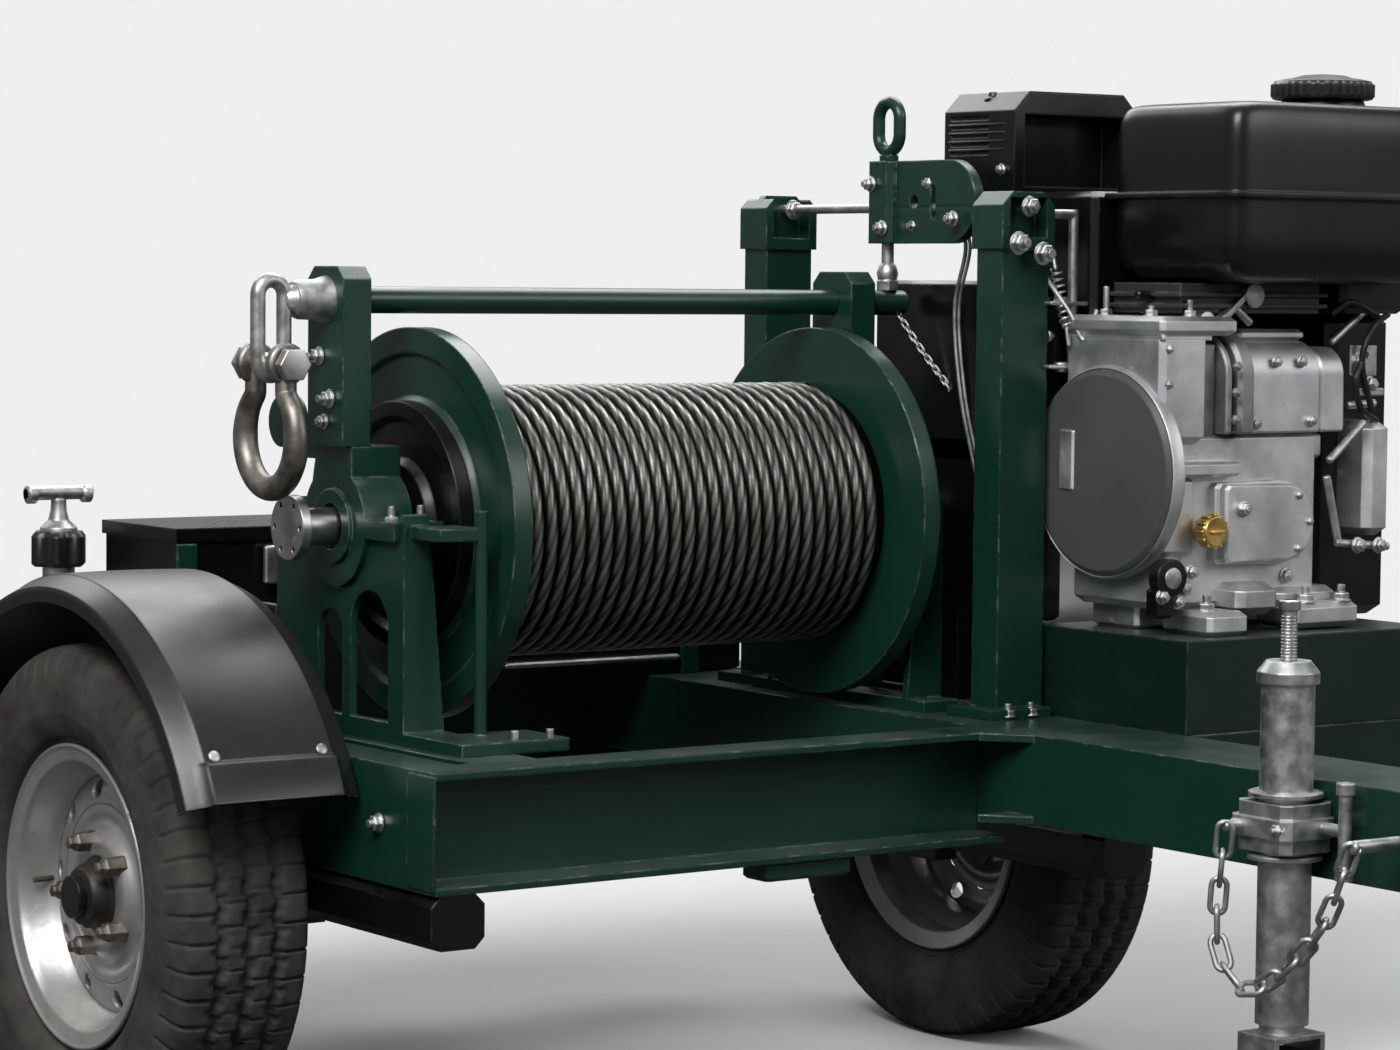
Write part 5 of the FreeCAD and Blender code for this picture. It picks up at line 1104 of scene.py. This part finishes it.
def controls(left, face, back):
    """The forked lever on top, the throttle link, stays at the right and their cables."""
    section = np.array([(-0.005, -0.003), (0.005, -0.003), (0.005, 0.003), (-0.005, 0.003)])
    arm = [(left + 0.070, -0.448, 0.789), (left + 0.092, -0.448, 0.795),
           (left + 0.112, -0.446, 0.808), (left + 0.134, -0.444, 0.824)]
    form = Form().sweep(through(arm, 6), section)
    form.boss((left + 0.136, -0.446, 0.818), Y, 0.006, 0.0125, 0.006)
    form.rod((left + 0.112, -0.446, 0.806), (left + 0.134, -0.446, 0.790), 0.0042)
    form.boss((left + 0.070, -0.447, 0.792), Y, 0.007, 0.010, 0.006)
    form.make("governor_lever", "chassis", "galvanised")
    form = Form().rod((left + 0.022, -0.400, 0.818), (left + 0.102, -0.400, 0.816), 0.0045)
    form.slab((left + 0.090, -0.405, 0.808), (left + 0.108, -0.395, 0.826), 0.001)
    form.make("throttle_link", "chassis", "black_enamel")
    x, front = left + 0.232, face + 0.002
    form = Form()
    for x0, x1, y, z0, z1 in ((0, 0.050, face + 0.004, 0.650, 0.690),
                              (-0.004, 0.014, front, 0.636, 0.568),
                              (0.010, 0.086, front, 0.567, 0.561),
                              (0.030, 0.082, -0.430, 0.770, 0.806),
                              (0.046, 0.086, -0.440, 0.706, 0.708)):
        form.rod((x + x0, y, z0), (x + x1, y, z1), 0.0042, 14)
    form.bolts([(x + 0.036, face - 0.003, 0.564), (x + 0.066, face - 0.003, 0.563),
                (x + 0.052, -0.447, 0.752), (x + 0.070, -0.447, 0.728)], -Y, 0.0068, 0.003)
    form.slabs((x + 0.052, x + 0.088, -0.452, -0.446, 0.716, 0.724, 0.001),
               (x + 0.042, x + 0.080, -0.448, -0.444, 0.736, 0.768, 0.001))
    form.make("cable_stays", "chassis", "galvanised")
    form = Form().slabs((x + 0.058, x + 0.094, face + 0.006, back - 0.040, 0.572, 0.690, 0.008))
    form.make("side_cowl", "chassis", "cast_alloy")
    form = Form()
    for line in ([(0.060, -0.452, 0.760), (0.040, -0.458, 0.735), (0.050, -0.455, 0.705),
                  (0.078, -0.450, 0.690)],
                 [(0.090, -0.452, 0.800), (0.062, -0.458, 0.785), (0.050, -0.456, 0.750),
                  (0.070, -0.452, 0.700)],
                 [(0.020, -0.440, 0.800), (0.044, -0.446, 0.812), (0.086, -0.446, 0.795)]):
        form.tube(through(np.array(line) + x * X, 10), 0.0034, Y, steps=10)
    form.make("engine_cables", "chassis", "black_plastic")


def feet(left, right, face):
    """Mounting feet and the clamp by the drive cover, with the screws that hold them down.

    Heights are given from the top of the bed."""
    bed = high("engine_bed")[2]
    form = Form().slabs(
        (left + 0.034, left + 0.088, face - 0.038, face + 0.035, bed, bed + 0.024, 0.005),
        (left + 0.086, left + 0.142, face - 0.025, face + 0.025, bed + 0.018, bed + 0.050, 0.008),
        (left + 0.160, right - 0.018, face - 0.027, face + 0.035, bed + 0.002, bed + 0.028, 0.006),
        (left + 0.160, right - 0.030, face - 0.005, face + 0.035, bed + 0.023, bed + 0.042, 0.006),
        (left + 0.030, right - 0.020, face + 0.065, face + 0.135, bed, bed + 0.030, 0.004))
    form.make("engine_feet", "chassis", "cast_alloy")
    form = Form().bolts([(left + 0.052, face - 0.013, bed + 0.023),
                         (left + 0.185, face - 0.015, bed + 0.027),
                         (left + 0.235, face - 0.015, bed + 0.027)], Z, 0.0085, 0.008)
    form.make("foot_bolts", "chassis", "galvanised")
    clamp = np.array((left + 0.006, face - 0.006, bed + 0.058))
    form = Form().boss(clamp, Y, 0.008, 0.019, 0.009, 32)
    form.slab(clamp - (0.014, 0.004, 0.040), clamp + (0.008, 0.018, -0.010), 0.003)
    form.make("drive_clamp", "chassis", "black_enamel")
    form = Form().lathe([(-0.010, 0.006), (-0.009, 0.0105), (0, 0.0105)], clamp, Y, 24)
    form.bolts([clamp + (-0.012, -0.004, -0.018), clamp + (0.014, 0.002, -0.024),
                clamp + (0.030, 0, 0.005)], -Y, 0.0062, 0.003)
    form.make("drive_clamp_bolts", "chassis", "galvanised")


def flywheel_cover():
    """The plain disc and the bright rolled ring about it; the ring's profile turns about X."""
    (a, b), centre = ends("flywheel_cover"), middle("flywheel_cover")
    r, centre[0] = (b[2] - a[2]) / 2, b[0]
    form = Form().lathe([(0.0, r), (-0.006, r - 0.001), (-0.0095, r - 0.006),
                         (-0.0105, r - 0.040), (-0.0110, 0.010)], centre, X, 96)
    form.make("cover_disc", "chassis", "cast_alloy", ("flywheel_cover",), SMOOTH_GREY)
    form = Form().lathe([(0.0, r - 0.002), (-0.004, r + 0.0005), (0.0, r + 0.0030),
                         (0.010, r + 0.0030), (0.014, r - 0.002)], centre - 0.002 * X, X, 96)
    form.slab((a[0] - 0.002, -0.348, 0.620), (a[0] + 0.004, -0.326, 0.682), 0.002)
    form.make("cover_ring", "chassis", "cast_alloy")


def black_covers():
    """The belt cover behind the post, the folded shield round the exhaust box, the fan housing."""
    for name, *rows in (
            ("belt_cover", (0.362, 0.392, -0.296, -0.150, 0.484, 0.815, 0.004),
             (0.360, 0.390, -0.250, -0.020, 0.640, 0.830, 0.004)),
            ("exhaust_shield", (0.403, 0.735, -0.324, -0.155, 0.706, 0.922, 0.006),
             (0.640, 0.735, -0.440, -0.300, 0.800, 0.900, 0.006)),
            ("fan_housing", (0.648, 0.738, -0.415, -0.325, 0.486, 0.800, 0.010))):
        Form().slabs(*rows).make(name, "chassis", "black_enamel")


# ---------------------------------------------------------------- room
PALE = (0.86, 0.86, 0.87)
FLOOR = (0.62, 0.62, 0.625)
DIM = (0.10, 0.10, 0.10)


def light(name, size, energy, place, target):
    """A soft rectangular lamp that looks at the target."""
    lamp = bpy.data.lights.new(name, "AREA")
    lamp.shape, lamp.size, lamp.size_y = "RECTANGLE", *size
    lamp.energy = energy
    made = bpy.data.objects.new(name, lamp)
    made.location = place
    made.rotation_mode = "QUATERNION"
    made.rotation_quaternion = (Vector(target) - Vector(place)).to_track_quat("-Z", "Y")
    bpy.context.scene.collection.objects.link(made)


def world():
    """Even white light on the object, and a pale backdrop for the camera."""
    made = bpy.data.worlds.new("studio")
    made.use_nodes = True
    bpy.context.scene.world = made
    tree = made.node_tree
    tree.nodes.clear()
    path = tree.nodes.new("ShaderNodeLightPath")
    plain, seen = (tree.nodes.new("ShaderNodeBackground") for _ in range(2))
    plain.inputs["Color"].default_value = (1, 1, 1, 1)
    plain.inputs["Strength"].default_value = 0.30
    seen.inputs["Color"].default_value = (*PALE, 1)
    pick = tree.nodes.new("ShaderNodeMixShader")
    out = tree.nodes.new("ShaderNodeOutputWorld")
    for source, socket in ((path.outputs["Is Camera Ray"], pick.inputs[0]),
                           (plain.outputs[0], pick.inputs[1]), (seen.outputs[0], pick.inputs[2]),
                           (pick.outputs[0], out.inputs[0])):
        tree.links.new(source, socket)


def room():
    """A pale floor that turns into the backdrop with distance, dimmer to all but the camera."""
    scene = bpy.context.scene
    scene.view_settings.view_transform = "Standard"
    world()
    reach, near, far = 30.0, 2.2, 5.5
    data = bpy.data.meshes.new("floor")
    corners = [(x * reach, y * reach, 0) for x, y in ((-1, -1), (1, -1), (1, 1), (-1, 1))]
    data.from_pydata(corners, [], [(0, 1, 2, 3)])
    floor = bpy.data.objects.new("floor", data)
    scene.collection.objects.link(floor)
    tree = Tree("pale_floor")
    distance = tree.node("VectorMath", {"operation": "LENGTH"}, out="Value", i0=tree.place())
    seen = tree.node("LightPath", out="Is Camera Ray")
    matt = tree.node("BsdfDiffuse", Color=tree.mix(seen, DIM, FLOOR), Roughness=1.0)
    glow = tree.node("Emission", Color=PALE, Strength=1.0)
    tree.surface(tree.node("MixShader", i0=distance.over(near, far) * seen, i1=matt, i2=glow))
    floor.data.materials.append(tree.material)
    light("key", (2.6, 1.8), 190, (-2.6, -2.2, 3.4), (0, -0.2, 0.5))
    light("fill", (2.4, 1.8), 42, (2.4, -3.6, 2.4), (0.3, -0.4, 0.6))
    light("back", (3.2, 1.4), 60, (0.6, 3.2, 3.2), (0, 0, 0.6))
    light("top", (2.4, 2.0), 95, (1.7, 0.9, 3.6), (-0.2, -0.1, 0.4))


def camera():
    """Looks along the given right, up and forward directions."""
    right = Vector((0.81443, -0.58017, 0.01009))
    up = Vector((0.02847, 0.05732, 0.99795))
    forward = Vector((0.57956, 0.81247, -0.06321))
    turn = Matrix((right, up, -forward)).transposed().to_4x4()
    made = bpy.data.objects.new("camera", bpy.data.cameras.new("camera"))
    made.data.lens = 100.6
    made.data.clip_end = 60
    made.matrix_world = Matrix.Translation((-2.2284, -3.3300, 0.8308)) @ turn
    bpy.context.scene.collection.objects.link(made)
    bpy.context.scene.camera = made


rope()
running_gear()
tie_gear()
shackle()
fasteners()
chain()
jockey()
prop_handle()
lifting()
fittings()
box_fittings()
tank()
cleaner()
engine()
room()
camera()
